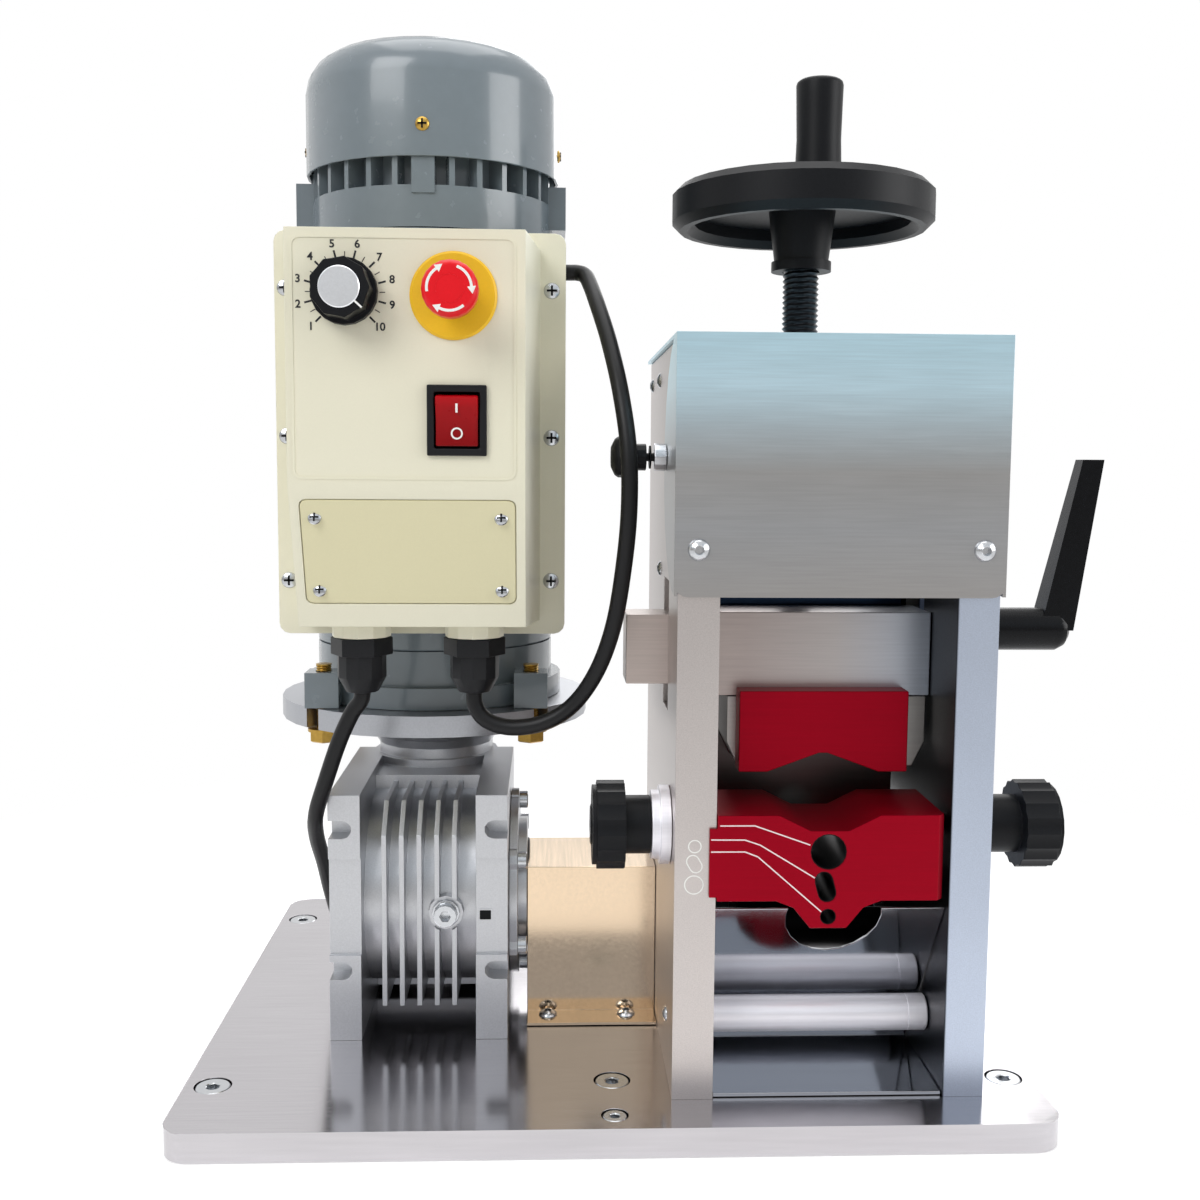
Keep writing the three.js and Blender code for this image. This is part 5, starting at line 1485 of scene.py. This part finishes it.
@dataclass
class WireGuides:
    """The red guides, their knobs and the collar.

    Attributes:
        lines: engraved lines on the lower guide's front, as (x, z) points.
        holes: x, z, reach, radius and slant of each hole in the lower guide.
        width: width of an engraved line.
        stretch: length of the pieces that follow the guide's face.
        wall: from a hole's edge to the outside and to the inside of the dark ring of painted shade.
        cap: outline of a knob's raised disc, as (radius, height).
    """

    lines: tuple[tuple[Pair, ...], ...] = (
        ((44.2, 135.3), (59.2, 135.3), (83.2, 126.8)),
        ((40.4, 129.2), (55.0, 129.1), (61.5, 126.9), (85.5, 112.3)),
        ((40.4, 123.9), (55.1, 123.9), (60.7, 121.7), (88.6, 97.3)),
    )
    holes: tuple[tuple[float, float, float, float, float], ...] = (
        (91.3, 123.7, 0, 7.8, 0), (91.6, 95.1, 0, 3.5, 0), (90.25, 108.3, 2.9, 4.0, 105),
    )
    width: float = 0.55
    stretch: float = 3.0
    wall: Pair = (0.05, 0.35)
    cap: tuple[Pair, ...] = (
        (0, -1), (9, -1), (9, 0.5), (8.2, 0.9), (3.4, 0.9), (2.8, 0.2), (0, 0.2),
    )

    def build(self) -> None:
        """Makes the guides and the knobs."""
        dressed("lower_guide", RED_ANODISED, "frame", width=0.5)
        dressed("upper_guide", RED_ANODISED, "carriage", width=0.6)
        self._lines()
        self._hole_shade()
        for side in ("left", "right"):
            dressed(f"{side}_guide_knob", BLACK_SATIN, f"{side}_knob", width=0.5, smooth=40)
            self._knob_cap(side)
        dressed("guide_collar", SATIN_STEEL, "frame", width=0.4)

    def _lines(self) -> None:
        """The pale lines that lead from the icons to the holes."""
        shape = Shape()
        for line in self.lines:
            for a, b in zip(line, line[1:]):
                start, end = Vector(a), Vector(b)
                count = max(1, round((end - start).length / self.stretch))
                spots = [start.lerp(end, i / count) for i in range(count + 1)]
                for one, other in zip(spots, spots[1:]):
                    y = front_of("lower_guide", *one.lerp(other, 0.5))
                    shape.extrude(stroke((one, other), self.width), Axis.Y, y - 0.06, y + 0.3)
        shape.piece("guide_lines", PALE_INK, "frame")

    def _hole_shade(self) -> None:
        """Dark liners in the lower guide's holes, painted shade that keeps them black."""
        shape = Shape()
        rear = span("lower_guide", Axis.Y)[1] - 0.3
        for x, z, reach, radius, slant in self.holes:
            front = front_of("lower_guide", x + reach + radius + 1.2, z) + 0.3
            outer, inner = (slotted(x, z, reach, radius - trim, slant) for trim in self.wall)
            shape.pierced(outer, [inner], Axis.Y, front, rear)
        # Painted shade: dark liners inside the red guide's holes.
        shape.piece("guide_hole_shade", DARK_STEEL, "frame")

    def _knob_cap(self, side: str) -> None:
        """The raised disc in the end of a knob.

        Args:
            side: left or right.
        """
        at = middle(f"{side}_guide_knob")
        low, high = span(f"{side}_guide_knob", Axis.X)
        end, way = (low, -1) if side == "left" else (high, 1)
        cap = Shape().add(Shape().turn(self.cap, steps=40), facing((way, 0, 0), (end, at.y, at.z)))
        cap.piece(f"{side}_knob_cap", BLACK_GLOSS, f"{side}_knob")


@dataclass
class BladeCarriage:
    """The bar, the blade holder, the axle and the disc blade.

    Attributes:
        blade_radius: the blade's radius.
        blade_bore: radius of its hole.
        bevel: width of its ground edge.
        retainer: left, right, front and rear edge of the plate on the holder.
        retainer_height: its thickness.
        retainer_bore: radius of its hole round the spindle.
        retainer_screw: a screw in it.
        screw_in: how far the screws are from its left, right and front edge.
        rear_screws: y of the screws behind.
    """

    blade_radius: float = 30.0
    blade_bore: float = 6.3
    bevel: float = 4.0
    retainer: tuple[float, float, float, float] = (45.0, 142.4, -54.0, 2.0)
    retainer_height: float = 16.0
    retainer_bore: float = 9.4
    retainer_screw: ButtonScrew = ButtonScrew(radius=4.4, height=2.6, socket=2.2)
    screw_in: float = 9.0
    rear_screws: float = -8.0

    def build(self) -> None:
        """Makes the carriage."""
        dressed("carriage_bar", BAR_METAL, "carriage", width=0.7)
        dressed("blade_holder", HOLDER_METAL, "carriage", width=0.5)
        dressed("blade_axle", DARK_STEEL, "carriage", width=0.4)
        self._blade()
        self._retainer()

    def _blade(self) -> None:
        """The disc blade, ground to an edge on both faces."""
        at = middle("cutting_blade")
        low, high = span("cutting_blade", Axis.X)
        bore, flat, radius = self.blade_bore, self.blade_radius - self.bevel, self.blade_radius
        outline = [(bore, low), (flat, low), (radius, (low + high) / 2), (flat, high), (bore, high)]
        shape = Shape().turn(outline, Axis.X, (0, at.y, at.z), steps=2 * ROUND)
        shape.piece("cutting_blade_ground", TURNED_STEEL, "blade", ["cutting_blade"], smooth=12)

    def _retainer(self) -> None:
        """The blued plate that holds the spindle's end in the blade holder, with its screws."""
        at = middle("spindle")
        foot = span("blade_holder", Axis.Z)[1]
        top = foot + self.retainer_height
        left, right, front, rear = self.retainer
        bore = circle(at.x, at.y, self.retainer_bore)
        plate = Shape().pierced(rounded(left, right, front, rear, 4), [bore], Axis.Z, foot + 0.1, top)
        plate.soften(0.8).piece("spindle_retainer", BLUED_STEEL, "carriage")
        across = (left + self.screw_in, right - self.screw_in)
        deep = (front + self.screw_in, self.rear_screws)
        spots = [(x, y, top - 0.1) for x in across for y in deep]
        self.retainer_screw.place("retainer_screws", "carriage", [((0, 0, 1), spot) for spot in spots])


@dataclass
class Handwheel:
    """The threaded spindle, the wheel and its turning handle.

    Attributes:
        radius: the thread's outer radius.
        depth: the thread's depth.
        pitch: rise of one turn.
        pivot: radius and length of the plain lower end.
        plain: length of the spindle without a thread, from its lower end.
        boss: radius and length of its turned upper end.
        grip: outside of the handle, as (height, radius).
        grip_bore: radius of its bore.
        axle_end: radius and depth of the sunk place for the axle's end, and the radius of its mouth.
    """

    radius: float = 8.75
    depth: float = 1.1
    pitch: float = 2.5
    pivot: Pair = (6.0, 9.5)
    plain: float = 84.0
    boss: Pair = (8.0, 18.0)
    grip: tuple[Pair, ...] = (
        (0.0, 7.6), (0.8, 8.6), (0.9, 11.4), (1.6, 11.9), (8.0, 12.0), (30.0, 11.3), (50.0, 11.8),
        (56.5, 12.0), (58.0, 11.6), (59.0, 10.4),
    )
    grip_bore: float = 4.6
    axle_end: Triple = (6.6, 6.0, 6.9)

    def build(self) -> None:
        """Makes the spindle, the wheel and the handle."""
        self._spindle()
        dressed("handwheel", BLACK_SATIN, "handwheel", width=1.3, smooth=45)
        dressed("handle_axle", TURNED_STEEL, "handwheel", width=0.4)
        self._grip()

    def _spindle(self) -> None:
        """The spindle with its thread, its plain lower end and its turned upper end."""
        at = middle("spindle")
        low, high = span("spindle", Axis.Z)
        centre = (at.x, at.y, 0)
        neck, core = low + self.plain, self.radius - 1.2
        radius, length = self.boss
        shape = Shape().thread(self.radius, self.depth, self.pitch, neck, high - length, centre)
        pivot, seat = self.pivot[0], low + self.pivot[1]
        plain = [(0, low), (pivot, low), (pivot, seat), (core, seat), (core, neck + 0.5), (0, neck + 0.5)]
        shape.turn(plain, Axis.Z, centre, steps=40)
        foot = high - length - 0.5
        end = [(0, foot), (radius, foot), (radius, high - 0.6), (radius - 0.6, high), (0, high)]
        shape.turn(end, Axis.Z, centre, steps=40)
        shape.piece("spindle_threaded", THREAD_STEEL, "handwheel", ["spindle"], smooth=50)

    def _grip(self) -> None:
        """The waisted handle with a sunk place for the end of its axle."""
        at = middle("handle_grip")
        low = span("handle_grip", Axis.Z)[0]
        top = low + self.grip[-1][0]
        radius, depth, mouth = self.axle_end
        outside = [(r, low + z) for z, r in self.grip]
        inside = [(mouth, top), (radius, top - depth), (self.grip_bore, top - depth)]
        outline = [(self.grip_bore, low), *outside, *inside]
        shape = Shape().turn(outline, Axis.Z, (at.x, at.y, 0), steps=56)
        shape.piece("handle_grip_turned", BLACK_SATIN, "grip", ["handle_grip"], smooth=40)


@dataclass
class Clamps:
    """The clamp lever on the bar and the spring plunger."""

    def build(self) -> None:
        """Makes the lever and the plunger."""
        dressed("clamp_stud", SCREW_STEEL, "clamp_stud", width=0.4)
        dressed("clamp_lever", BLACK_GLOSS, "clamp_lever", width=1.6, smooth=50)
        dressed("plunger_bush", TURNED_STEEL, "frame", width=0.4)
        dressed("plunger_knob", BLACK_SATIN, "plunger", width=0.8, smooth=45)


# Gearbox and drive


@dataclass
class Gearbox:
    """The worm gearbox with its side cover, plug, seal and bolts.

    Attributes:
        bolt_count: cap screws in the side cover.
        bolt_circle: radius of their circle.
        bolt: radius and height of a cap screw's head, and its socket's corner radius.
        neck_at: x and y of the cone under the motor's flange.
        neck: the cone's outline, as (radius, depth below the flange).
        seal: the seal's outline, as (radius, place out of the cover's face).
        window: x and z of the sunk square.
        window_half: half the width and half the height of its frame.
        window_frame: width of the frame.
    """

    bolt_count: int = 6
    bolt_circle: float = 43.0
    bolt: Triple = (4.4, 4.4, 2.2)
    neck_at: Pair = (-91.0, 48.4)
    neck: tuple[Pair, ...] = ((24, 0), (50, 0), (50, 1.2), (30.6, 14), (24, 14))
    seal: tuple[Pair, ...] = (
        (13.2, -2), (22, -2), (22, 0.7), (20.5, 1.2), (14.2, 1.2), (13.2, 0),
    )
    window: Pair = (-59.2, 73.6)
    window_half: Pair = (3.4, 3.0)
    window_frame: float = 0.7

    def build(self) -> None:
        """Makes the gearbox."""
        dressed("gearbox_case", CAST_ALLOY, "frame", width=0.7, smooth=35)
        dressed("gearbox_cover", CAST_ALLOY, "frame", width=0.6, smooth=35)
        dressed("oil_plug", SCREW_STEEL, "frame", width=0.4)
        dressed("worm_wheel", BRONZE, "drive", width=0.4)
        self._seal()
        self._bolts()
        self._neck()
        self._window()

    def _neck(self) -> None:
        """The cone under the motor's flange."""
        top = span("input_flange", Axis.Z)[0] - 0.1
        outline = [(radius, top - depth) for radius, depth in self.neck]
        shape = Shape().turn(outline, Axis.Z, (*self.neck_at, 0), steps=72)
        shape.piece("gearbox_neck_cone", CAST_ALLOY, "frame")

    def _window(self) -> None:
        """The dark sunk square in the right foot's front."""
        x, z = self.window
        wide, high = self.window_half
        y = front_of("gearbox_case", x, z)
        outer, inner = (
            rounded(x - wide + trim, x + wide - trim, z - high + trim, z + high - trim, corner)
            for trim, corner in ((0, 0.6), (self.window_frame, 0.4))
        )
        surround = Shape().pierced(outer, [inner], Axis.Y, y - 0.3, y + 0.5)
        surround.piece("case_window_frame", CAST_ALLOY, "frame")
        pane = Shape().extrude(inner, Axis.Y, y - 0.12, y + 0.4)
        pane.soften(0.1, segments=1).piece("case_window", DARK_STEEL, "frame")

    def _seal(self) -> None:
        """The black seal round the output shaft."""
        at = middle("drive_shaft")
        face = span("gearbox_cover", Axis.X)[1]
        outline = [(radius, face + out) for radius, out in self.seal]
        shape = Shape().turn(outline, Axis.X, (0, at.y, at.z), steps=56)
        shape.piece("output_seal", STEM_BLACK, "frame")

    def _bolts(self) -> None:
        """The cap screws round the side cover."""
        at = middle("gearbox_cover")
        foot = span("gearbox_cover", Axis.X)[1] - 4.2
        radius, height, socket = self.bolt
        rim = [(radius, 0), (radius, height - 0.4), (radius - 0.4, height)]
        hole = [(socket + 0.2, height), (socket, height - 0.2), (socket, 1.6), (0, 1.6)]
        heads = Shape()
        for i in range(self.bolt_count):
            angle = 2 * math.pi * (i + 0.5) / self.bolt_count
            y, z = at.y + self.bolt_circle * math.cos(angle), at.z + self.bolt_circle * math.sin(angle)
            head = Shape().turn([(0, 0), *rim, *hole], steps=32, hexed=socket)
            heads.add(head, facing((1, 0, 0), (foot, y, z)))
        heads.piece("gearbox_cover_bolts", SCREW_STEEL, "frame")


@dataclass
class Drive:
    """The shaft, the feed roller, its bearings and the guard.

    Attributes:
        knurls: teeth round the roller.
        knurl: one tooth's outline, as (share of its step round the roller, radius).
        roller_bore: radius of the roller's bore.
        tray_radius: outer radius of the bent sheet under the roller.
        tray_angles: from where to where it goes round the roller, in degrees.
        tray_sheet: its thickness.
        shield: inner and outer radius of the bearing's shield.
        guard_screw: a screw in the guard's foot.
        guard_screws: x and y of each.
        guard_sheet: height of the guard's foot above its lowest point.
    """

    knurls: int = 60
    knurl: tuple[Pair, ...] = ((0.0, 19.1), (0.3, 20.0), (0.6, 20.0), (0.9, 19.1))
    roller_bore: float = 8.8
    tray_radius: float = 36.0
    tray_angles: Pair = (186.0, 350.0)
    tray_sheet: float = 1.2
    shield: Pair = (9.4, 15.2)
    guard_screw: ButtonScrew = ButtonScrew(radius=4.6, height=2.6, socket=2.0)
    guard_screws: tuple[Pair, ...] = ((-29.0, -37.0), (10.0, -37.0))
    guard_sheet: float = 1.6

    def build(self) -> None:
        """Makes the drive."""
        dressed("drive_shaft", TURNED_STEEL, "drive", width=0.5)
        for side in ("left", "right"):
            dressed(f"{side}_shaft_bearing", TURNED_STEEL, "frame", width=0.4)
        dressed("coupling_guard", GUARD_METAL, "frame", width=0.35)
        self._roller()
        self._tray()
        self._bearing_face()
        low = span("coupling_guard", Axis.Z)[0] + self.guard_sheet
        spots = [(x, y, low) for x, y in self.guard_screws]
        self.guard_screw.place("guard_screws", "frame", [((0, 0, 1), spot) for spot in spots])

    def _tray(self) -> None:
        """The blackened sheet that is bent round under the roller, between the side plates."""
        at = middle("feed_roller")
        left, right = span("left_side_plate", Axis.X)[1], span("right_side_plate", Axis.X)[0]
        low, high = self.tray_angles
        outline = arc(at.y, at.z, self.tray_radius, low, high, 30)
        outline += arc(at.y, at.z, self.tray_radius - self.tray_sheet, high, low, 30)
        tray = Shape().extrude(outline, Axis.X, left + 0.2, right - 0.2)
        tray.soften(0.3, segments=1).piece("scrap_tray", DARK_STEEL, "frame")

    def _roller(self) -> None:
        """The feed roller with teeth along it."""
        at = middle("feed_roller")
        outline = []
        for i in range(self.knurls):
            for part, radius in self.knurl:
                angle = 2 * math.pi * (i + part) / self.knurls
                outline.append((at.y + radius * math.cos(angle), at.z + radius * math.sin(angle)))
        bore = circle(at.y, at.z, self.roller_bore)
        shape = Shape().pierced(outline, [bore], Axis.X, *span("feed_roller", Axis.X))
        shape.piece("feed_roller_knurled", DARK_STEEL, "drive", ["feed_roller"], smooth=20)

    def _bearing_face(self) -> None:
        """The shield of the right bearing, seen in the plate's side."""
        at = middle("right_shaft_bearing")
        face = span("right_shaft_bearing", Axis.X)[1]
        inner, outer = self.shield
        ring = [(inner, face - 0.4), (outer, face - 0.4), (outer, face + 0.25), (inner, face + 0.25)]
        Shape().turn(ring, Axis.X, (0, at.y, at.z)).piece("bearing_shield", STEM_BLACK, "frame")


# Motor


@dataclass
class Motor:
    """The motor, from its input flange to the fan cover.

    Attributes:
        axis: x and y of the shaft.
        barrel: outer and inner radius of the barrel.
        barrel_edge: its chamfer.
        bolt_count: bolts in the flange.
        head: height of a bolt's head and of its washer.
        hexagon: corner radius of a bolt's head.
        washer_radius: the washer's radius.
        thread: outer radius, depth and pitch of a bolt's thread.
        cover_radius: radius at which the fan cover's screws have their feet.
        cover_screw: a screw in the fan cover.
        cover_screws: their angles in degrees.
        screw_height: how high they stand.
    """

    axis: Pair = (-91.0, 48.4)
    barrel: Pair = (63.0, 58.0)
    barrel_edge: float = 0.8
    bolt_count: int = 4
    head: Pair = (5.5, 1.6)
    hexagon: float = 7.5
    washer_radius: float = 8.4
    thread: Triple = (4.0, 0.6, 1.25)
    cover_radius: float = 65.5
    cover_screw: CrossScrew = CrossScrew(radius=3.6, height=2.0, finish=ZINC)
    cover_screws: tuple[float, ...] = (-90.0, 0.0, 90.0, 180.0)
    screw_height: float = 452.0

    def build(self) -> None:
        """Makes the motor."""
        dressed("input_flange", FLANGE_ALLOY, "frame", width=0.6, smooth=40)
        dressed("motor_end_shield", MOTOR_PAINT, "frame", width=0.8, smooth=40)
        dressed("motor_top_shield", MOTOR_PAINT, "frame", width=0.4, smooth=35)
        dressed("stator", WINDING, "frame", width=0.6)
        dressed("rotor_and_worm", TURNED_STEEL, "rotor", width=0.4)
        dressed("cooling_fan", FAN_BLACK, "rotor", width=0.4)
        dressed("fan_cover", MOTOR_PAINT, "frame", width=0.5, smooth=45)
        self._barrel()
        for i in range(self.bolt_count):
            self._bolt(f"flange_bolt_{i + 1}")
        self._cover_screws()

    def _barrel(self) -> None:
        """The rolled barrel."""
        low, high = span("motor_barrel", Axis.Z)
        (outer, inner), edge = self.barrel, self.barrel_edge
        outside = [(outer - edge, low), (outer, low + edge), (outer, high - edge), (outer - edge, high)]
        outline = [(inner, low), *outside, (inner, high)]
        shape = Shape().turn(outline, Axis.Z, (*self.axis, 0), steps=2 * ROUND)
        shape.piece("motor_barrel_rolled", MOTOR_PAINT, "frame", ["motor_barrel"])

    def _bolt(self, node: str) -> None:
        """A hexagon bolt under the flange, with its washer and its thread up through the shield's ear.

        Args:
            node: the solid's name.
        """
        at = middle(node)
        low, high = span(node, Axis.Z)
        centre = (at.x, at.y, 0)
        seat = low + self.head[0]
        over = seat + self.head[1]
        wide, corner = self.washer_radius, self.hexagon
        shape = Shape().thread(*self.thread, over - 0.1, high, centre)
        washer = [(4.1, seat), (wide, seat), (wide, over), (4.1, over)]
        shape.turn(washer, Axis.Z, centre, steps=40)
        head = [(0, low), (corner - 1.1, low), (corner, low + 0.7), (corner, seat), (0, seat)]
        shape.turn(head, Axis.Z, centre, steps=36, hexed=corner)
        shape.piece(f"{node}_threaded", ZINC, "frame", [node], smooth=30)

    def _cover_screws(self) -> None:
        """The brass screws round the fan cover."""
        centre = Vector((*self.axis, self.screw_height))
        angles = [math.radians(degrees) for degrees in self.cover_screws]
        ways = [Vector((math.cos(angle), math.sin(angle), 0)) for angle in angles]
        self.cover_screw.place("fan_cover", [(way, centre + way * self.cover_radius) for way in ways])


# Control box


@dataclass
class ControlBox:
    """The moulded box with its dial, stop button, rocker and glands.

    Attributes:
        frame_line: left, right, low and high edge of the raised line.
        line_width: its width.
        flange_screw: a screw in the box's flange.
        flange_screws: x and z of each.
        access_screw: a screw in the access plate.
        access_in: how far these are from the plate's sides and foot, and from its top.
        dial: x and z of the dial.
        cap: outline of the knob's silver cap, as (radius, height).
        pointer: the pointer's angle in degrees.
        pointer_reach: from where to where it goes, out from the middle.
        first: angle of the scale's first number.
        step: degrees from one number to the next.
        numbers: how many there are.
        number_size: their height.
        number_radius: radius of their circle.
        tick_foot: radius at which the ticks start.
        scale_radius: radius at which the long ones end.
        short_tick: how much shorter the others are.
        stop: x and z of the stop button.
        ring_bore: radius of the yellow ring's bore.
        arrows: how many turn arrows the button has.
        arrow_radius: radius of their circle.
        arrow_tail: angle of the first one's tail in degrees.
        arrow_swing: how far each goes round, in degrees.
        arrow_steps: straight stretches in an arrow.
        arrow_head: half the width and the length of its point.
        rim: outer and inner radius of the button's raised rim.
        rocker: x and z of the rocker.
        mark_out: how far up and down the marks' middles are.
        bar_half: half the height of the on mark.
        off_ring: outer and inner radius of the off mark.
    """

    frame_line: tuple[float, float, float, float] = (-136.5, -43.2, 281.9, 382.0)
    line_width: float = 0.9
    flange_screw: CrossScrew = CrossScrew(radius=3.8, height=1.5)
    flange_screws: tuple[Pair, ...] = (
        (-28.3, 369.2), (-28.3, 301.2), (-28.3, 233.7), (-151.6, 369.2), (-151.6, 301.2), (-151.6, 233.7),
    )
    access_screw: CrossScrew = CrossScrew(radius=3.0, height=1.4)
    access_in: Pair = (6.0, 8.0)
    dial: Pair = (-114.0, 359.1)
    cap: tuple[Pair, ...] = ((0, 0), (8.4, 0), (8.4, 0.6), (8.0, 0.9), (0, 0.9))
    pointer: float = -42.0
    pointer_reach: Pair = (8.2, 12.2)
    first: float = 225.0
    step: float = 30.0
    numbers: int = 10
    number_size: float = 3.3
    number_radius: float = 20.1
    tick_foot: float = 14.2
    scale_radius: float = 17.4
    short_tick: float = 0.9
    stop: Pair = (-69.25, 358.0)
    ring_bore: float = 8.3
    arrows: int = 3
    arrow_radius: float = 8.9
    arrow_tail: float = 190.0
    arrow_swing: float = 66.0
    arrow_steps: int = 10
    arrow_head: Pair = (1.7, 3.0)
    rim: Pair = (5.9, 5.4)
    rocker: Pair = (-68.0, 306.7)
    mark_out: float = 5.4
    bar_half: float = 2.2
    off_ring: Pair = (2.5, 1.8)

    def build(self) -> None:
        """Makes the box and what is on it."""
        dressed("box_base", IVORY, "frame", width=1.4, smooth=40)
        dressed("box_cover", IVORY, "frame", width=1.6, smooth=40)
        dressed("access_plate", CREAM, "frame", width=0.6)
        self._line()
        spots = [(x, front_of("box_cover", x, z), z) for x, z in self.flange_screws]
        self.flange_screw.place("box_flange", [((0, -1, 0), spot) for spot in spots])
        self._access_screws()
        self._speed_knob()
        self._speed_scale()
        self._stop_button()
        self._rocker()
        for side in ("left", "right"):
            dressed(f"{side}_gland", STEM_BLACK, "frame", width=0.5, smooth=40)

    def _line(self) -> None:
        """The raised line round the controls."""
        left, right, low, high = self.frame_line
        wide = self.line_width
        y = front_of("box_cover", left + 2, low + 2)
        outer = rounded(left, right, low, high, 4)
        inner = rounded(left + wide, right - wide, low + wide, high - wide, 3.2)
        line = Shape().pierced(outer, [inner], Axis.Y, y - 0.35, y + 0.3)
        line.soften(0.15, segments=1).piece("control_frame_line", IVORY, "frame")

    def _access_screws(self) -> None:
        """Cross headed screws in the sloping access plate, square to its face."""
        foot, head = self.access_in
        (left, right), (low, high) = span("access_plate", Axis.X), span("access_plate", Axis.Z)
        across, heights = (left + foot, right - foot), (low + foot, high - head)
        below, above = (front_of("access_plate", middle("access_plate").x, z) for z in heights)
        out = Vector((0, heights[0] - heights[1], below - above)).normalized()
        spots = [(x, front_of("access_plate", x, z), z) for x in across for z in heights]
        self.access_screw.place("access", [(out, spot) for spot in spots])

    def _spoke(self, degrees: float, start: float, end: float) -> Pairs:
        """Both ends of a line out from the dial's middle.

        Args:
            degrees: its angle.
            start: where it starts.
            end: where it ends.

        Returns:
            The ends as (x, z) points.
        """
        x, z = self.dial
        angle = math.radians(degrees)
        return [(x + math.cos(angle) * r, z + math.sin(angle) * r) for r in (start, end)]

    def _speed_knob(self) -> None:
        """The speed knob with its silver cap and its pointer."""
        x, z = self.dial
        dressed("speed_knob", BLACK_SATIN, "dial", width=0.5, smooth=40)
        tip = span("speed_knob", Axis.Y)[0]
        cap = Shape().add(Shape().turn(self.cap), facing((0, -1, 0), (x, tip + 0.3, z)))
        cap.piece("speed_knob_cap", SILVER_CAP, "dial")
        line = stroke(self._spoke(self.pointer, *self.pointer_reach), 0.8)
        Shape().extrude(line, Axis.Y, tip - 0.3, tip + 0.6).piece("speed_knob_pointer", WHITE_INK, "dial")

    def _speed_scale(self) -> None:
        """The ticks and the numbers round the speed knob; between two numbers is a short tick."""
        x, z = self.dial
        y = front_of("box_cover", x - self.scale_radius, z)
        scale = Shape()
        for i in range(2 * self.numbers - 1):
            angle = self.first - self.step * i / 2
            numbered = i % 2 == 0
            outer = self.scale_radius if numbered else self.scale_radius - self.short_tick
            tick = stroke(self._spoke(angle, self.tick_foot, outer), 0.8 if numbered else 0.35)
            scale.extrude(tick, Axis.Y, y - 0.08, y + 0.2)
            if numbered:
                u, v = self._spoke(angle, 0, self.number_radius)[1]
                scale.lettering(str(i // 2 + 1), self.number_size, (u, y - 0.02, v))
        scale.piece("speed_scale", BLACK_INK, "frame")

    def _stop_button(self) -> None:
        """The stop button on its yellow ring, with its turn arrows and its raised rim."""
        x, z = self.stop
        (left, right), (front, rear) = span("estop_ring", Axis.X), span("estop_ring", Axis.Y)
        bore, outer = self.ring_bore, (right - left) / 2
        bezel = [(bore, rear), (outer, rear), (outer, front + 1), (outer - 1, front), (bore, front)]
        ring = Shape().turn(bezel, Axis.Y, (x, 0, z), steps=2 * ROUND)
        ring.piece("estop_ring_turned", YELLOW, "frame", ["estop_ring"])
        dressed("estop_stem", STEM_BLACK, "stop_stem", width=0.3)
        dressed("estop_head", BUTTON_RED, "stop_head", width=0.9, smooth=45)
        arrows = Shape()
        for i in range(self.arrows):
            self._arrow(arrows, self.arrow_tail - 360 / self.arrows * i)
        arrows.piece("estop_arrows", WHITE_INK, "stop_head")
        y = front_of("estop_head", x + 5.6, z)
        outside, inside = (circle(x, z, r) for r in self.rim)
        rim = Shape().pierced(outside, [inside], Axis.Y, y - 0.15, y + 0.6)
        rim.piece("estop_rim", BUTTON_RED, "stop_head")

    def _arrow(self, shape: Shape, tail: float) -> None:
        """Adds one turn arrow on the stop button.

        Args:
            shape: what it is added to.
            tail: angle of its tail in degrees.
        """
        points = arc(*self.stop, self.arrow_radius, tail, tail - self.arrow_swing, self.arrow_steps)
        spots = [Vector(point) for point in points]
        y = front_of("estop_head", *spots[self.arrow_steps // 2])
        for one, other in zip(spots, spots[1:]):
            shape.extrude(stroke((one, other), 1.1), Axis.Y, y - 0.12, y + 0.9)
        half, length = self.arrow_head
        end = spots[-1]
        along = (end - spots[-2]).normalized()
        out = Vector((-along.y, along.x)) * half
        shape.extrude([end - out, end + along * length, end + out], Axis.Y, y - 0.14, y + 0.9)

    def _rocker(self) -> None:
        """The red rocker with its on and off marks."""
        x, z = self.rocker
        dressed("switch_frame", STEM_BLACK, "frame", width=0.6)
        dressed("switch_rocker", ROCKER_RED, "rocker", width=0.7, smooth=40)
        marks = Shape()
        above, below = z + self.mark_out, z - self.mark_out
        y = front_of("switch_rocker", x, above)
        bar = stroke([(x, above - self.bar_half), (x, above + self.bar_half)], 0.9)
        marks.extrude(bar, Axis.Y, y - 0.5, y + 0.5)
        y = front_of("switch_rocker", x, below)
        outer, inner = (circle(x, below, r) for r in self.off_ring)
        marks.pierced(outer, [inner], Axis.Y, y - 0.5, y + 0.5)
        marks.piece("rocker_marks", WHITE_INK, "rocker")


@dataclass
class Machine:
    """The whole machine.

    Attributes:
        parts: the sub-assemblies, in the order in which they are made.
    """

    parts: tuple = field(
        default_factory=lambda: (
            BasePlate(), CuttingHead(), WireGuides(), BladeCarriage(), Handwheel(), Clamps(), Gearbox(),
            Drive(), Motor(), ControlBox(),
        )
    )

    def build(self) -> None:
        """Makes every sub-assembly."""
        for part in self.parts:
            LOG.info("building %s", type(part).__name__)
            part.build()


def main() -> None:
    """Makes the room, the cords and the machine, and notes the sizes."""
    logging.basicConfig(level=logging.INFO, format="%(name)s: %(message)s")
    Studio().build()
    Cords().build()
    Machine().build()


if __name__ == "__main__":
    main()
